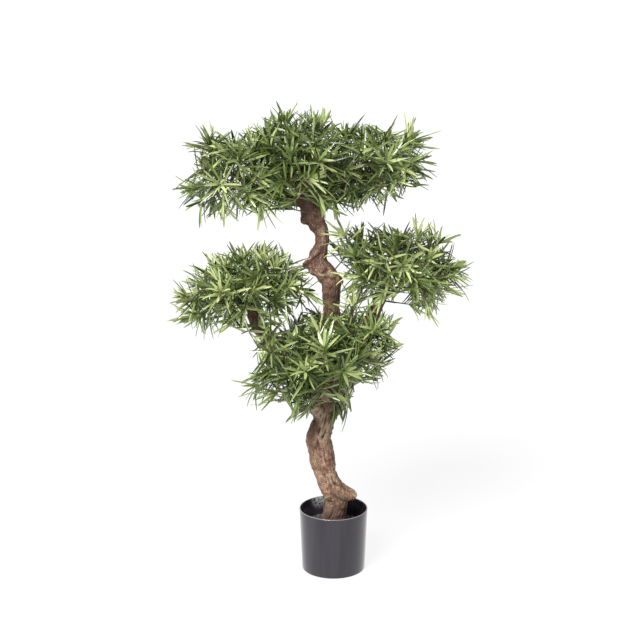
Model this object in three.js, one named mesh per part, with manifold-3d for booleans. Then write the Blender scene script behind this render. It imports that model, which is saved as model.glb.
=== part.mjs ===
// An artificial podocarpus tree: a gnarled trunk with its boughs, pads of foliage and a plain round pot.
// Millimetres, +Z up, +X to the tree's right and -Y to its front. The origin is under the middle of the pot.
import * as THREE from "three";
import Module from "manifold-3d";
import { mergeVertices } from "three/addons/utils/BufferGeometryUtils.js";

const wasm = await Module();
wasm.setup();

// ---------------------------------------------------------------- driving dimensions

const CLEARANCE = 0.3; // between any two pieces that meet
const POT = {
  rimRadius: 80,
  baseRadius: 74,
  height: 150,
  wall: 2.2,
  floor: 4,
  edge: 3, // the bevelled corner under the wall
  segments: 32,
};
const SOIL = {
  depthUnderRim: 38, // of the level middle, which the trunk stands on
  seatRadius: 40, // of that level middle
  sag: 7, // from the middle to the wall
  lump: 2.5, // height of the lumps in the sagging part
  lumpLength: [9, 11], // their wavelength along X and Y, over 2 pi
};
const GROUND = POT.height - SOIL.depthUnderRim; // height of the level soil

const LEAF = {
  length: 78, // of the lowest leaf of a tuft
  topLength: 60, // of the topmost one
  lengths: [0.88, 1.06], // least and greatest share of that length
  width: 13.5,
  thickness: 1.8,
  widest: 0.42, // share of the length at which a leaf is widest
  arch: 0.045, // rise of that place over the straight line, as a share of the length
  sunk: 0.9, // of the root past the middle of its shoot
  foot: 0.25, // share of the length that may lie close to other leaves
  barkGap: 3, // least distance from a blade to a limb
};
const TUFT = {
  leaves: 8,
  candidates: 13, // places for those leaves
  stride: 5, // between the places in the order that they are tried
  spacing: 8, // least distance between blades
  shortening: [1, 0.75], // shares of its length at which a leaf is tried
  shoot: 30, // length of the stretch that bears leaves
  bearing: [0.08, 0.92], // shares of that stretch between which the leaves sit
  depth: 6, // of that stretch inside the space of its mass
  lowLean: 94, // degrees between the shoot and its lowest leaf
  topLean: 28,
  leanSpread: 14, // degrees that two leaves at one place can differ by
};
const PAD = {
  margin: 76, // from the foot of a shoot to the outer face of its pad
  insets: [0.86, 1.04], // least and greatest share of the way from the middle to that foot
  highest: 0.97, // sine of the steepest way from the middle to a tuft
  turnSpread: 0.5, // radians that a tuft strays from the golden angle
  lift: 0.4, // upward lean of every shoot
};
const TWIG = {
  stemRadius: 5.2,
  forkRadius: 3.8,
  footRadius: 3,
  tipRadius: 2,
  stem: 30, // length past the limb's tip
  stemForks: [0.5, 0.65, 0.8, 0.93], // shares of the stem at which a twig can start
  forks: [0.3, 0.55, 0.8], // the same of a twig, up to its foot
  sharpest: -0.2, // cosine of the sharpest bend at that foot
  barkGap: 1, // least distance from a twig to a limb, past its own radius
  step: 6, // between the places where that distance is taken
};
const GOLDEN_ANGLE = Math.PI * (3 - Math.sqrt(5));
const SEED = { tufts: 1, leaves: 101 };
const SIDES = { trunk: 12, bough: 9, stub: 7, twig: 3 };
// Depth of the lobes in a limb's section, as a share of its radius.
const LOBES = { trunk: 0.045, bough: 0.035, stub: 0.03 };

// A limb's stations are [x, y, z, radius] from its foot to its tip.
const TRUNK = [
  [-2, 0, GROUND - 14, 29],
  [-1, 0, GROUND + 10, 28],
  [2, 0, 144, 27.5],
  [9, -1, 165, 23],
  [7, -5, 184, 25],
  [-5, -8, 205, 27],
  [-16, -8, 232, 25],
  [-24, -5, 265, 28.5],
  [-28, -2, 291, 29],
  [-33, 0, 322, 28],
  [-25, 5, 355, 25.5],
  [-16, 11, 392, 28],
  [-6, 18, 458, 24],
  [1, 18, 519, 23],
  [-2, 14, 580, 22],
  [-7, 10, 640, 19],
  [-7, 5, 675, 21],
  [-8, 2, 697, 22],
  [-20, 0, 718, 22],
  [-34, 0, 736, 22],
  [-37, 0, 753, 20.5],
  [-32, 0, 769, 17.5],
  [-27, 0, 788, 15],
  [-27, 1, 808, 15],
  [-33, 2, 823, 18],
  [-44, 2, 840, 23],
  [-50, 2, 860, 24],
  [-56, 1, 882, 21],
  [-60, 0, 910, 16],
  [-63, 0, 945, 11],
  [-66, 0, 975, 8],
];
// Knees and burls are short stubs that are one with the trunk.
const TRUNK_STUBS = {
  heel: [
    [-4, -6, 202, 23],
    [18, -11, 192, 20],
    [38, -13, 186, 15],
    [54, -14, 183, 7],
  ],
  knee: [
    [-34, 0, 742, 18],
    [-52, -4, 739, 14],
    [-70, -7, 735, 6],
  ],
  upper_knob: [
    [-48, 0, 856, 19],
    [-62, -3, 843, 14],
    [-69, -5, 832, 6],
  ],
  middle_knob: [
    [-10, 4, 694, 20],
    [6, 0, 699, 16],
    [20, -2, 702, 7],
  ],
  left_burl: [
    [-20, 6, 392, 23],
    [-38, -2, 393, 18],
    [-55, -6, 396, 9],
  ],
  right_burl: [
    [-10, 8, 392, 23],
    [8, 2, 396, 17],
    [22, -2, 401, 9],
  ],
};
// Each bough starts in the trunk and is cut clear of it.
const BOUGHS = {
  bough_left: [
    [-18, 8, 400, 21],
    [-52, 16, 432, 20],
    [-95, 18, 490, 18],
    [-140, 12, 548, 17],
    [-172, 4, 592, 16.5],
    [-184, 0, 622, 13.5],
    [-185, 0, 650, 10],
  ],
  bough_right: [
    [-8, 14, 404, 21],
    [24, 24, 450, 19],
    [54, 24, 510, 17.5],
    [74, 16, 568, 16.5],
    [90, 6, 620, 16],
    [108, 0, 664, 13.5],
    [124, 0, 696, 9],
  ],
  bough_low_left: [
    [-12, 8, 428, 15],
    [-42, -22, 452, 12],
    [-76, -40, 480, 9.5],
    [-98, -46, 500, 7.5],
  ],
  bough_low_front: [
    [-12, 8, 420, 16],
    [-18, -36, 440, 13],
    [-24, -70, 464, 10],
    [-26, -92, 488, 7.5],
  ],
  bough_low_right: [
    [-2, 14, 470, 14],
    [28, -8, 490, 12],
    [58, -24, 508, 9.5],
    [76, -32, 524, 7.5],
  ],
  bough_low_back: [
    [0, 16, 450, 14],
    [-10, 52, 470, 11],
    [-18, 76, 490, 7.5],
  ],
  bough_crown_left: [
    [-54, 2, 880, 15],
    [-92, -4, 886, 13.5],
    [-138, -6, 898, 11],
    [-176, -6, 914, 8],
  ],
  bough_crown_right: [
    [-56, 2, 890, 13],
    [-22, 6, 902, 11.5],
    [22, 6, 920, 9.5],
    [60, 2, 938, 7.5],
  ],
  bough_crown_front: [
    [-58, 0, 906, 11],
    [-58, -34, 916, 9],
    [-56, -62, 934, 7],
  ],
  bough_crown_back: [
    [-60, 0, 916, 11],
    [-64, 34, 926, 9],
    [-68, 62, 944, 7],
  ],
};

// A pad of foliage fills an ellipsoid round `middle` that its leaf tips reach. `lowest` is the sine of the
// steepest way down from the middle to a tuft, and `raised` the degrees that the pad's right side is raised.
const PADS = {
  crown_middle: { middle: [-60, 0, 968], reach: [165, 165, 130], tufts: 17, lowest: -0.9, raised: 0 },
  crown_left: { middle: [-216, -6, 942], reach: [148, 146, 116], tufts: 12, lowest: -0.8, raised: 6 },
  crown_right: { middle: [98, 0, 966], reach: [140, 142, 108], tufts: 11, lowest: -0.75, raised: 14 },
  left: { middle: [-206, 4, 674], reach: [184, 150, 114], tufts: 14, lowest: -0.8, raised: 14 },
  right: { middle: [142, 4, 723], reach: [186, 150, 120], tufts: 14, lowest: -0.75, raised: -7 },
  low: { middle: [-26, -34, 514], reach: [216, 188, 130], tufts: 21, lowest: -0.85, raised: 18 },
};
// A mass is the share of its pad that lies nearest to `at`. It grows from the tip of its limb.
const MASSES = {
  crown_top: { pad: "crown_middle", at: [-66, 0, 1040], limb: "trunk" },
  crown_front: { pad: "crown_middle", at: [-56, -96, 945], limb: "bough_crown_front" },
  crown_back: { pad: "crown_middle", at: [-68, 96, 950], limb: "bough_crown_back" },
  crown_left: { pad: "crown_left", at: [-226, -4, 934], limb: "bough_crown_left" },
  crown_right: { pad: "crown_right", at: [104, 0, 956], limb: "bough_crown_right" },
  left_front: { pad: "left", at: [-208, -72, 684], limb: "bough_left" },
  left_back: { pad: "left", at: [-206, 80, 686], limb: "bough_left" },
  right_front: { pad: "right", at: [152, -72, 722], limb: "bough_right" },
  right_back: { pad: "right", at: [150, 80, 724], limb: "bough_right" },
  low_left: { pad: "low", at: [-140, -38, 490], limb: "bough_low_left" },
  low_front: { pad: "low", at: [-24, -128, 518], limb: "bough_low_front" },
  low_right: { pad: "low", at: [96, -36, 562], limb: "bough_low_right" },
  low_back: { pad: "low", at: [-22, 84, 534], limb: "bough_low_back" },
};

const COLOURS = {
  bark: { color: 0x8a5f4a, roughness: 0.9 },
  foliage: { color: 0x4d6b2f, roughness: 0.55 },
  pot: { color: 0x2f2e32, roughness: 0.35 },
  soil: { color: 0x3d3429, roughness: 1.0 },
};

// ---------------------------------------------------------------- solids from geometry

const vector = (p) => new THREE.Vector3(p[0], p[1], p[2]);
const mix = (a, b, t) => a + (b - a) * t;

/** The direction from one point to another. */
const towards = (from, to) => to.clone().sub(from).normalize();

/** Points spread evenly from one point to another, with both ends among them. */
const pointsAlong = (from, to, spans) =>
  Array.from({ length: spans + 1 }, (_, i) => from.clone().lerp(to, i / spans));

/** A manifold-3d solid from lists of points and triangles. */
function solidOf(points, triangles) {
  const vertProperties = new Float32Array(points.flatMap((p) => [p.x, p.y, p.z]));
  return new wasm.Manifold(
    new wasm.Mesh({ numProp: 3, vertProperties, triVerts: new Uint32Array(triangles.flat()) }),
  );
}

/** A manifold-3d solid from a closed three.js geometry. */
function solidOfGeometry(geometry) {
  const bare = geometry.clone();
  bare.deleteAttribute("normal");
  bare.deleteAttribute("uv");
  const merged = mergeVertices(bare, 1e-3);
  return new wasm.Manifold(
    new wasm.Mesh({
      numProp: 3,
      vertProperties: new Float32Array(merged.getAttribute("position").array),
      triVerts: new Uint32Array(merged.index.array),
    }),
  );
}

/** The largest body of a solid, without the hollows and scraps that joining can leave. */
function mainBody(solid) {
  return solid.decompose().reduce((best, next) => (next.volume() > best.volume() ? next : best));
}

/** A named mesh from a manifold-3d solid. */
function meshOf(name, solid, colour) {
  const made = solid.getMesh();
  const geometry = new THREE.BufferGeometry()
    .setAttribute("position", new THREE.BufferAttribute(new Float32Array(made.vertProperties), 3))
    .setIndex(new THREE.BufferAttribute(new Uint32Array(made.triVerts), 1));
  geometry.computeVertexNormals();
  const mesh = new THREE.Mesh(geometry, new THREE.MeshStandardMaterial({ ...colour, metalness: 0 }));
  mesh.name = name;
  return mesh;
}

// A linear congruential generator on 32 bits.
const GENERATOR = { spread: 2654435761, factor: 1664525, step: 1013904223, range: 2 ** 32 };

/** A seeded source of numbers from 0 to 1. */
function randomFrom(seed) {
  let state = Math.imul(seed + 1, GENERATOR.spread) >>> 0;
  const next = () => {
    state = (Math.imul(state, GENERATOR.factor) + GENERATOR.step) >>> 0;
    return state / GENERATOR.range;
  };
  next();
  return next;
}

// ---------------------------------------------------------------- limbs

/** An open Catmull-Rom curve through the points. */
const smoothCurve = (points) => new THREE.CatmullRomCurve3(points, false, "catmullrom");

/** Stations on one smooth curve through the given ones, each {at, radius}. */
function smoothStations(stations, perSpan) {
  const path = smoothCurve(stations.map(vector));
  const radii = smoothCurve(stations.map((s) => new THREE.Vector3(s[3], 0, 0)));
  const count = (stations.length - 1) * perSpan;
  return Array.from({ length: count + 1 }, (_, i) => ({
    at: path.getPoint(i / count),
    radius: radii.getPoint(i / count).x,
  }));
}

/** Whether a direction is too near to X for X to guide the sections across it. */
const nearX = (along) => Math.abs(along.x) > 0.9;

/** A closed tube through the stations. `section` scales the radius by the angle and the station. */
function tube(stations, sides, { section = () => 1, facing } = {}) {
  const points = [];
  const triangles = [];
  let reference = new THREE.Vector3(1, 0, 0);
  stations.forEach(({ at, radius }, i) => {
    const before = stations[Math.max(i - 1, 0)].at;
    const after = stations[Math.min(i + 1, stations.length - 1)].at;
    const along = facing ?? after.clone().sub(before).normalize();
    if (i === 0 && nearX(along)) reference = new THREE.Vector3(0, 1, 0);
    const side = reference.clone().addScaledVector(along, -reference.dot(along)).normalize();
    const up = along.clone().cross(side);
    reference = side;
    for (let k = 0; k < sides; k++) {
      const turn = (2 * Math.PI * k) / sides;
      const r = radius * section(turn, i);
      points.push(
        at.clone().addScaledVector(side, r * Math.cos(turn)).addScaledVector(up, r * Math.sin(turn)),
      );
      if (i === 0) continue;
      const [a, b] = [(i - 1) * sides + k, (i - 1) * sides + ((k + 1) % sides)];
      triangles.push([a, b, b + sides], [a, b + sides, a + sides]);
    }
  });
  const last = (stations.length - 1) * sides;
  for (let k = 1; k < sides - 1; k++) {
    triangles.push([0, k + 1, k], [last, last + k, last + k + 1]);
  }
  return solidOf(points, triangles);
}

/** The uneven section of old bark: three and five shallow lobes that turn slowly up the limb. */
const barkSection = (lobes) => (turn, i) =>
  1 + lobes * (Math.cos(3 * turn + 0.35 * i) + 0.7 * Math.cos(5 * turn - 0.5 * i + 1));

/** The solid of a trunk, bough or stub, made `grown` larger all round. */
function limb(kind, stations, grown = 0) {
  const wide = stations.map((s) => ({ at: vector(s), radius: s[3] + grown }));
  const [last, before] = [wide.at(-1), wide.at(-2)];
  last.at.addScaledVector(towards(before.at, last.at), grown);
  return tube(wide, SIDES[kind], { section: barkSection(LOBES[kind]) });
}

/** The trunk with its stubs, cut flat at the soil. */
function trunkSolid(grown = 0) {
  const stubs = Object.values(TRUNK_STUBS).map((stub) => limb("stub", stub, grown));
  const whole = wasm.Manifold.union([limb("trunk", TRUNK, grown), ...stubs]);
  const size = 4 * POT.rimRadius;
  const below = new THREE.BoxGeometry(size, size, size);
  below.translate(0, 0, GROUND + CLEARANCE - grown - size / 2);
  return whole.subtract(solidOfGeometry(below));
}

// Closer stations along each limb, which twigs and leaves are kept clear of.
const STATIONS_PER_SPAN = 4;
const LIMB_STATIONS = Object.fromEntries(
  Object.entries({ trunk: TRUNK, ...BOUGHS }).map(([name, stations]) => [
    name,
    smoothStations(stations, STATIONS_PER_SPAN),
  ]),
);

function buildLimbs() {
  const solids = { trunk: trunkSolid() };
  let taken = trunkSolid(CLEARANCE);
  for (const [name, stations] of Object.entries(BOUGHS)) {
    solids[name] = mainBody(limb("bough", stations).subtract(taken));
    taken = taken.add(limb("bough", stations, CLEARANCE));
  }
  return { solids, taken };
}

// ---------------------------------------------------------------- foliage

// The planes that bound the space of each mass, halfway to every other mass, with their normals inwards.
const MASS_PLANES = Object.fromEntries(
  Object.keys(MASSES).map((name) => {
    const own = vector(MASSES[name].at);
    const others = Object.keys(MASSES).filter((other) => other !== name);
    const planes = others.map((other) => {
      const at = vector(MASSES[other].at);
      const halfway = own.clone().lerp(at, 0.5);
      return new THREE.Plane().setFromNormalAndCoplanarPoint(towards(at, own), halfway);
    });
    return [name, planes];
  }),
);

/** How far a point lies inside the space of a mass. */
function depthInside(point, name) {
  return Math.min(...MASS_PLANES[name].map((plane) => plane.distanceToPoint(point)));
}

// How often a point may move towards the middle of its mass, and by what share of the way each time.
const SETTLING = { moves: 60, share: 0.04 };

/** The point, moved until it and what lies at `onward` from it are `margin` deep in the space of the mass. */
function settled(point, name, margin, onward = new THREE.Vector3()) {
  const own = vector(MASSES[name].at);
  const moved = point.clone();
  const shallow = () => [moved, moved.clone().add(onward)].some((p) => depthInside(p, name) < margin);
  for (let move = 0; move < SETTLING.moves && shallow(); move++) moved.lerp(own, SETTLING.share);
  return moved;
}

/** Whether a point comes within `margin` of a limb's bark. */
function nearLimb(point, margin) {
  return Object.values(LIMB_STATIONS).some((stations) =>
    stations.some(({ at, radius }) => point.distanceTo(at) < radius + margin),
  );
}

/** The mass of this pad that a point belongs to. */
function massAt(point, pad) {
  const names = Object.keys(MASSES).filter((name) => MASSES[name].pad === pad);
  const distance = (name) => point.distanceTo(vector(MASSES[name].at));
  return names.reduce((best, name) => (distance(name) < distance(best) ? name : best));
}

const Y_AXIS = new THREE.Vector3(0, 1, 0);

/** The feet and directions of a pad's tufts, spread evenly over it by the golden angle. */
function tuftsOf(padName, seed) {
  const pad = PADS[padName];
  const random = randomFrom(seed);
  const spin = 2 * Math.PI * random();
  const inner = vector(pad.reach.map((r) => r - PAD.margin));
  const tilt = THREE.MathUtils.degToRad(-pad.raised);
  return Array.from({ length: pad.tufts }, (_, i) => {
    const height = mix(PAD.highest, pad.lowest, (i + 0.5) / pad.tufts);
    const turn = spin + i * GOLDEN_ANGLE + PAD.turnSpread * (random() - 0.5);
    const flat = Math.sqrt(1 - height * height);
    const out = new THREE.Vector3(flat * Math.cos(turn), flat * Math.sin(turn), height);
    const inset = mix(...PAD.insets, random());
    const foot = inner.clone().multiplyScalar(inset).multiply(out);
    foot.applyAxisAngle(Y_AXIS, tilt).add(vector(pad.middle));
    const axis = out.clone().divide(vector(pad.reach)).applyAxisAngle(Y_AXIS, tilt).normalize();
    axis.z += PAD.lift;
    return { foot, axis: axis.normalize(), mass: massAt(foot, padName) };
  });
}

/** One leaf: a slim blade, flat above and keeled below, pointed at both ends and widest before its middle. */
function leafPoints(root, along, face, length) {
  const across = along.clone().cross(face).normalize();
  const middle = root
    .clone()
    .addScaledVector(along, LEAF.widest * length)
    .addScaledVector(face, LEAF.arch * length);
  return [
    root,
    middle.clone().addScaledVector(across, LEAF.width / 2),
    middle.clone().addScaledVector(face, -LEAF.thickness),
    middle.clone().addScaledVector(across, -LEAF.width / 2),
    root.clone().addScaledVector(along, length),
  ];
}
const LEAF_TRIANGLES = [
  [0, 1, 3],
  [0, 3, 2],
  [0, 2, 1],
  [4, 3, 1],
  [4, 2, 3],
  [4, 1, 2],
];

// A direction that no shoot has.
const SHOOT_GUIDE = new THREE.Vector3(0.3, 0.2, 1);

/** The places on a tuft's shoot that could bear a leaf, in a spiral up it. */
function leafPlaces({ foot, axis }, random) {
  const side = SHOOT_GUIDE.clone().cross(axis).normalize();
  const up = axis.clone().cross(side);
  const spin = 2 * Math.PI * random();
  return Array.from({ length: TUFT.candidates }, (_, i) => {
    const k = (i * TUFT.stride) % TUFT.candidates;
    const share = k / (TUFT.candidates - 1);
    const turn = spin + k * GOLDEN_ANGLE;
    const degrees = mix(TUFT.lowLean, TUFT.topLean, share) + TUFT.leanSpread * (random() - 0.5);
    const lean = THREE.MathUtils.degToRad(degrees);
    const length = mix(LEAF.length, LEAF.topLength, share) * mix(...LEAF.lengths, random());
    const outward = side.clone().multiplyScalar(Math.cos(turn)).addScaledVector(up, Math.sin(turn));
    const along = axis.clone().multiplyScalar(Math.cos(lean)).addScaledVector(outward, Math.sin(lean));
    const face = axis.clone().multiplyScalar(Math.sin(lean)).addScaledVector(outward, -Math.cos(lean));
    const root = foot
      .clone()
      .addScaledVector(axis, TUFT.shoot * mix(...TUFT.bearing, share))
      .addScaledVector(along, -LEAF.sunk);
    return { root, along, face, length };
  });
}

/** The leaf of this length at a place, with the line along its blade. */
function leafAt({ root, along, face }, length) {
  const blade = new THREE.Line3(
    root.clone().addScaledVector(along, LEAF.foot * length),
    root.clone().addScaledVector(along, length),
  );
  return { points: leafPoints(root, along, face, length), blade };
}

// Spans between the places on a blade where its distance to the limbs is taken.
const BLADE_SPANS = 3;

/** Whether a leaf stays in the space of its mass, clear of the limbs and of what already grows there. */
function hasRoom({ points, blade }, mass, grown) {
  return (
    points.every((p) => depthInside(p, mass) > CLEARANCE) &&
    pointsAlong(blade.start, blade.end, BLADE_SPANS).every((p) => !nearLimb(p, LEAF.barkGap)) &&
    grown.every((line) => blade.distanceSqToLine3(line) > TUFT.spacing ** 2)
  );
}

/** A three-sided twig. Its sections are parallel, so each of its faces is flat. */
function twigSolid({ path, radii }) {
  const facing = towards(path[0], path[1]).add(towards(path.at(-2), path.at(-1))).normalize();
  return tube(path.map((at, i) => ({ at, radius: radii[i] })), SIDES.twig, { facing });
}

/** Whether a straight twig stays clear of every limb past its foot. */
function missesLimbs(from, to) {
  const spans = Math.ceil(from.distanceTo(to) / TWIG.step);
  const places = pointsAlong(from, to, spans).slice(1);
  return places.every((p) => !nearLimb(p, TWIG.forkRadius + TWIG.barkGap));
}

/** The twigs of a mass: a stem from its limb's tip, and a twig to each tuft from the nearest wood so far. */
function massTwigs(name, tufts) {
  const [before, tip] = LIMB_STATIONS[MASSES[name].limb].slice(-2).map((station) => station.at);
  const margin = TWIG.stemRadius + TWIG.barkGap;
  const root = settled(before, name, margin);
  const hub = settled(tip.clone().addScaledVector(towards(before, tip), TWIG.stem), name, margin);
  const wood = TWIG.stemForks.map((share) => root.clone().lerp(hub, share));
  const twigs = [{ path: [root, hub], radii: [TWIG.stemRadius, TWIG.forkRadius] }];
  const shoots = [];
  const byDistance = [...tufts].sort((a, b) => a.foot.distanceTo(hub) - b.foot.distanceTo(hub));
  for (const tuft of byDistance) {
    const shoot = tuft.axis.clone().multiplyScalar(TUFT.shoot);
    const foot = settled(tuft.foot, name, TUFT.depth, shoot);
    const end = foot.clone().add(shoot);
    const reachable = (at) => towards(at, foot).dot(tuft.axis) > TWIG.sharpest && missesLimbs(at, foot);
    const starts = wood.filter((at) => reachable(at) && missesLimbs(foot, end));
    if (!starts.length) continue;
    const start = starts.reduce((a, b) => (b.distanceTo(foot) < a.distanceTo(foot) ? b : a));
    wood.splice(wood.indexOf(start), 1, ...TWIG.forks.map((share) => start.clone().lerp(foot, share)));
    twigs.push({ path: [start, foot, end], radii: [TWIG.forkRadius, TWIG.footRadius, TWIG.tipRadius] });
    shoots.push({ foot, axis: tuft.axis });
  }
  return { twigs, shoots };
}

/** A mass of foliage: its twigs with the leaves that find room on them. */
function massSolid(name, tufts, seed) {
  const random = randomFrom(seed);
  const { twigs, shoots } = massTwigs(name, tufts);
  const grown = twigs.flatMap(({ path }) => path.slice(1).map((end, i) => new THREE.Line3(path[i], end)));
  const pieces = twigs.map(twigSolid);
  for (const shoot of shoots) {
    let count = 0;
    for (const place of leafPlaces(shoot, random)) {
      if (count === TUFT.leaves) break;
      const leaf = TUFT.shortening
        .map((share) => leafAt(place, share * place.length))
        .find((tried) => hasRoom(tried, name, grown));
      if (!leaf) continue;
      grown.push(leaf.blade);
      pieces.push(solidOf(leaf.points, LEAF_TRIANGLES));
      count++;
    }
  }
  return wasm.Manifold.union(pieces);
}

function buildMasses(taken) {
  const tufts = Object.keys(PADS).flatMap((pad, i) => tuftsOf(pad, SEED.tufts + i));
  return Object.fromEntries(
    Object.keys(MASSES).map((name, i) => {
      const own = tufts.filter((t) => t.mass === name);
      return [name, mainBody(massSolid(name, own, SEED.leaves + i).subtract(taken))];
    }),
  );
}

// ---------------------------------------------------------------- pot and soil

/** The radius of the pot's outer face at a height. */
const potRadius = (z) => mix(POT.baseRadius, POT.rimRadius, z / POT.height);

function potGeometry() {
  const { height, wall, floor, edge, segments } = POT;
  const profile = [
    [0, 0],
    [potRadius(0) - edge, 0],
    [potRadius(edge), edge],
    [potRadius(height), height],
    [potRadius(height) - wall, height],
    [potRadius(floor + edge) - wall, floor + edge],
    [potRadius(floor) - wall - edge, floor],
    [0, floor],
  ];
  return turned(profile, segments);
}

/** The filling: level in the middle, sagging towards the wall in a few lumps. */
function soilGeometry() {
  const { wall, floor, edge, segments } = POT;
  const bottom = floor + CLEARANCE;
  const edgeHeight = GROUND - SOIL.sag;
  const inside = (z) => potRadius(z) - wall - 2 * CLEARANCE;
  const profile = [
    [0, bottom],
    [inside(floor) - edge, bottom],
    [inside(floor + edge), floor + edge + CLEARANCE],
    [inside(edgeHeight), edgeHeight],
    [mix(SOIL.seatRadius, inside(edgeHeight), 0.5), mix(GROUND, edgeHeight, 0.5)],
    [SOIL.seatRadius, GROUND],
    [0, GROUND],
  ];
  const geometry = turned(profile, segments);
  const position = geometry.getAttribute("position");
  for (let i = 0; i < position.count; i++) {
    const [x, y, z] = [position.getX(i), position.getY(i), position.getZ(i)];
    const sagging = z > edgeHeight - SOIL.lump && Math.hypot(x, y) > SOIL.seatRadius + CLEARANCE;
    if (sagging) position.setZ(i, z + lumpAt(x, y));
  }
  return geometry;
}

/** The height of the soil's lumps over its plain sag. */
function lumpAt(x, y) {
  const [alongX, alongY] = SOIL.lumpLength;
  return SOIL.lump * Math.sin(x / alongX) * Math.cos(y / alongY);
}

/** A profile of [radius, height] pairs, turned round Z. */
function turned(profile, segments) {
  const geometry = new THREE.LatheGeometry(
    profile.map(([r, z]) => new THREE.Vector2(r, z)),
    segments,
  );
  return geometry.rotateX(Math.PI / 2);
}

// ---------------------------------------------------------------- the tree

const tree = new THREE.Group();
tree.add(meshOf("pot", solidOfGeometry(potGeometry()), COLOURS.pot));
tree.add(meshOf("soil", solidOfGeometry(soilGeometry()), COLOURS.soil));
const limbs = buildLimbs();
for (const [name, solid] of Object.entries(limbs.solids)) tree.add(meshOf(name, solid, COLOURS.bark));
for (const [name, solid] of Object.entries(buildMasses(limbs.taken))) {
  tree.add(meshOf(name, solid, COLOURS.foliage));
}

export default tree;
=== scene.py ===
import math

import bmesh
import bpy
import numpy as np
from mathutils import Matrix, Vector, noise


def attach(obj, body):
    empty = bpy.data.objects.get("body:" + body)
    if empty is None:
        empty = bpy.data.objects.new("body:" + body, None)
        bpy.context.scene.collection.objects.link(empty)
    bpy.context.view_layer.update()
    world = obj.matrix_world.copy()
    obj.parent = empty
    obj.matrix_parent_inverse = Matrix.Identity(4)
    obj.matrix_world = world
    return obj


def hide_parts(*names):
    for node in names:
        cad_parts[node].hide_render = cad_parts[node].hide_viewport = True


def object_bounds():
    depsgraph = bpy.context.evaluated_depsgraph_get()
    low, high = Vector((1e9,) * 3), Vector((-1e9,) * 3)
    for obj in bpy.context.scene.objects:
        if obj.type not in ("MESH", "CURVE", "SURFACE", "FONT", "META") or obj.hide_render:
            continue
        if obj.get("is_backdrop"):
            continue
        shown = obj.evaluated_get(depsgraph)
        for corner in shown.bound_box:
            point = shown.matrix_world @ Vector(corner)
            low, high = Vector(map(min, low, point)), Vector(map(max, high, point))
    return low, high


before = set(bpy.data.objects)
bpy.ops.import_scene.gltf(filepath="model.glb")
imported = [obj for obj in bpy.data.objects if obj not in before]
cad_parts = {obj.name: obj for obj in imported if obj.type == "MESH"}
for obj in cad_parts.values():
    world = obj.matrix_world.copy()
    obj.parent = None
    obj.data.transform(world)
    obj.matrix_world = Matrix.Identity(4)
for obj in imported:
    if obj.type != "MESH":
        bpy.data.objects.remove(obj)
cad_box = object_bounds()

# An artificial podocarpus tree: gnarled wood, sprays of long narrow leaves and a plain pot of set filling.
# Sizes are in millimetres in the frame's own axes, and meshes are written in metres. A place read off the
# photo is written as its pixel.
MM = 0.001
BODY = "root"

# ---------------------------------------------------------------- sizes that the solids have too

POT = {"rim_radius": 80.0, "base_radius": 74.0, "height": 150.0, "wall": 2.2, "floor": 4.0, "corner": 3.0}
# How the pot's section turns round. `axis` is the radius of the tiny discs that close it in the middle.
LATHE = {"segments": 144, "axis": 0.01, "corner_steps": 6, "wall_steps": 8}
SOIL = {"depth_under_rim": 38.0, "seat_radius": 40.0, "sag": 7.0}
GROUND = POT["height"] - SOIL["depth_under_rim"]

TUFT = {"shoot": 30.0, "depth": 6.0}
PAD = {"margin": 76.0, "insets": (0.86, 1.04), "highest": 0.97, "turn_spread": 0.5, "lift": 0.4}
TWIG = {
    "stem_radius": 5.2,
    "fork_radius": 3.8,
    "stem": 30.0,
    "stem_forks": (0.5, 0.65, 0.8, 0.93),
    "forks": (0.3, 0.55, 0.8),
    "sharpest": -0.2,
    "bark_gap": 1.0,
    "step": 6.0,
}
SETTLING = {"moves": 60, "share": 0.04}
GOLDEN_ANGLE = math.pi * (3 - math.sqrt(5))
TUFT_SEED = 1

# A limb's stations are (x, y, z, radius) from its foot to its tip.
TRUNK = [
    (-2, 0, GROUND - 14, 29), (-1, 0, GROUND + 10, 28), (2, 0, 144, 27.5), (9, -1, 165, 23),
    (7, -5, 184, 25), (-5, -8, 205, 27), (-16, -8, 232, 25), (-24, -5, 265, 28.5), (-28, -2, 291, 29),
    (-33, 0, 322, 28), (-25, 5, 355, 25.5), (-16, 11, 392, 28), (-6, 18, 458, 24), (1, 18, 519, 23),
    (-2, 14, 580, 22), (-7, 10, 640, 19), (-7, 5, 675, 21), (-8, 2, 697, 22), (-20, 0, 718, 22),
    (-34, 0, 736, 22), (-37, 0, 753, 20.5), (-32, 0, 769, 17.5), (-27, 0, 788, 15), (-27, 1, 808, 15),
    (-33, 2, 823, 18), (-44, 2, 840, 23), (-50, 2, 860, 24), (-56, 1, 882, 21), (-60, 0, 910, 16),
    (-63, 0, 945, 11), (-66, 0, 975, 8),
]
TRUNK_STUBS = {
    "heel": [(-4, -6, 202, 23), (18, -11, 192, 20), (38, -13, 186, 15), (54, -14, 183, 7)],
    "knee": [(-34, 0, 742, 18), (-52, -4, 739, 14), (-70, -7, 735, 6)],
    "upper_knob": [(-48, 0, 856, 19), (-62, -3, 843, 14), (-69, -5, 832, 6)],
    "middle_knob": [(-10, 4, 694, 20), (6, 0, 699, 16), (20, -2, 702, 7)],
    "left_burl": [(-20, 6, 392, 23), (-38, -2, 393, 18), (-55, -6, 396, 9)],
    "right_burl": [(-10, 8, 392, 23), (8, 2, 396, 17), (22, -2, 401, 9)],
}
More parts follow.
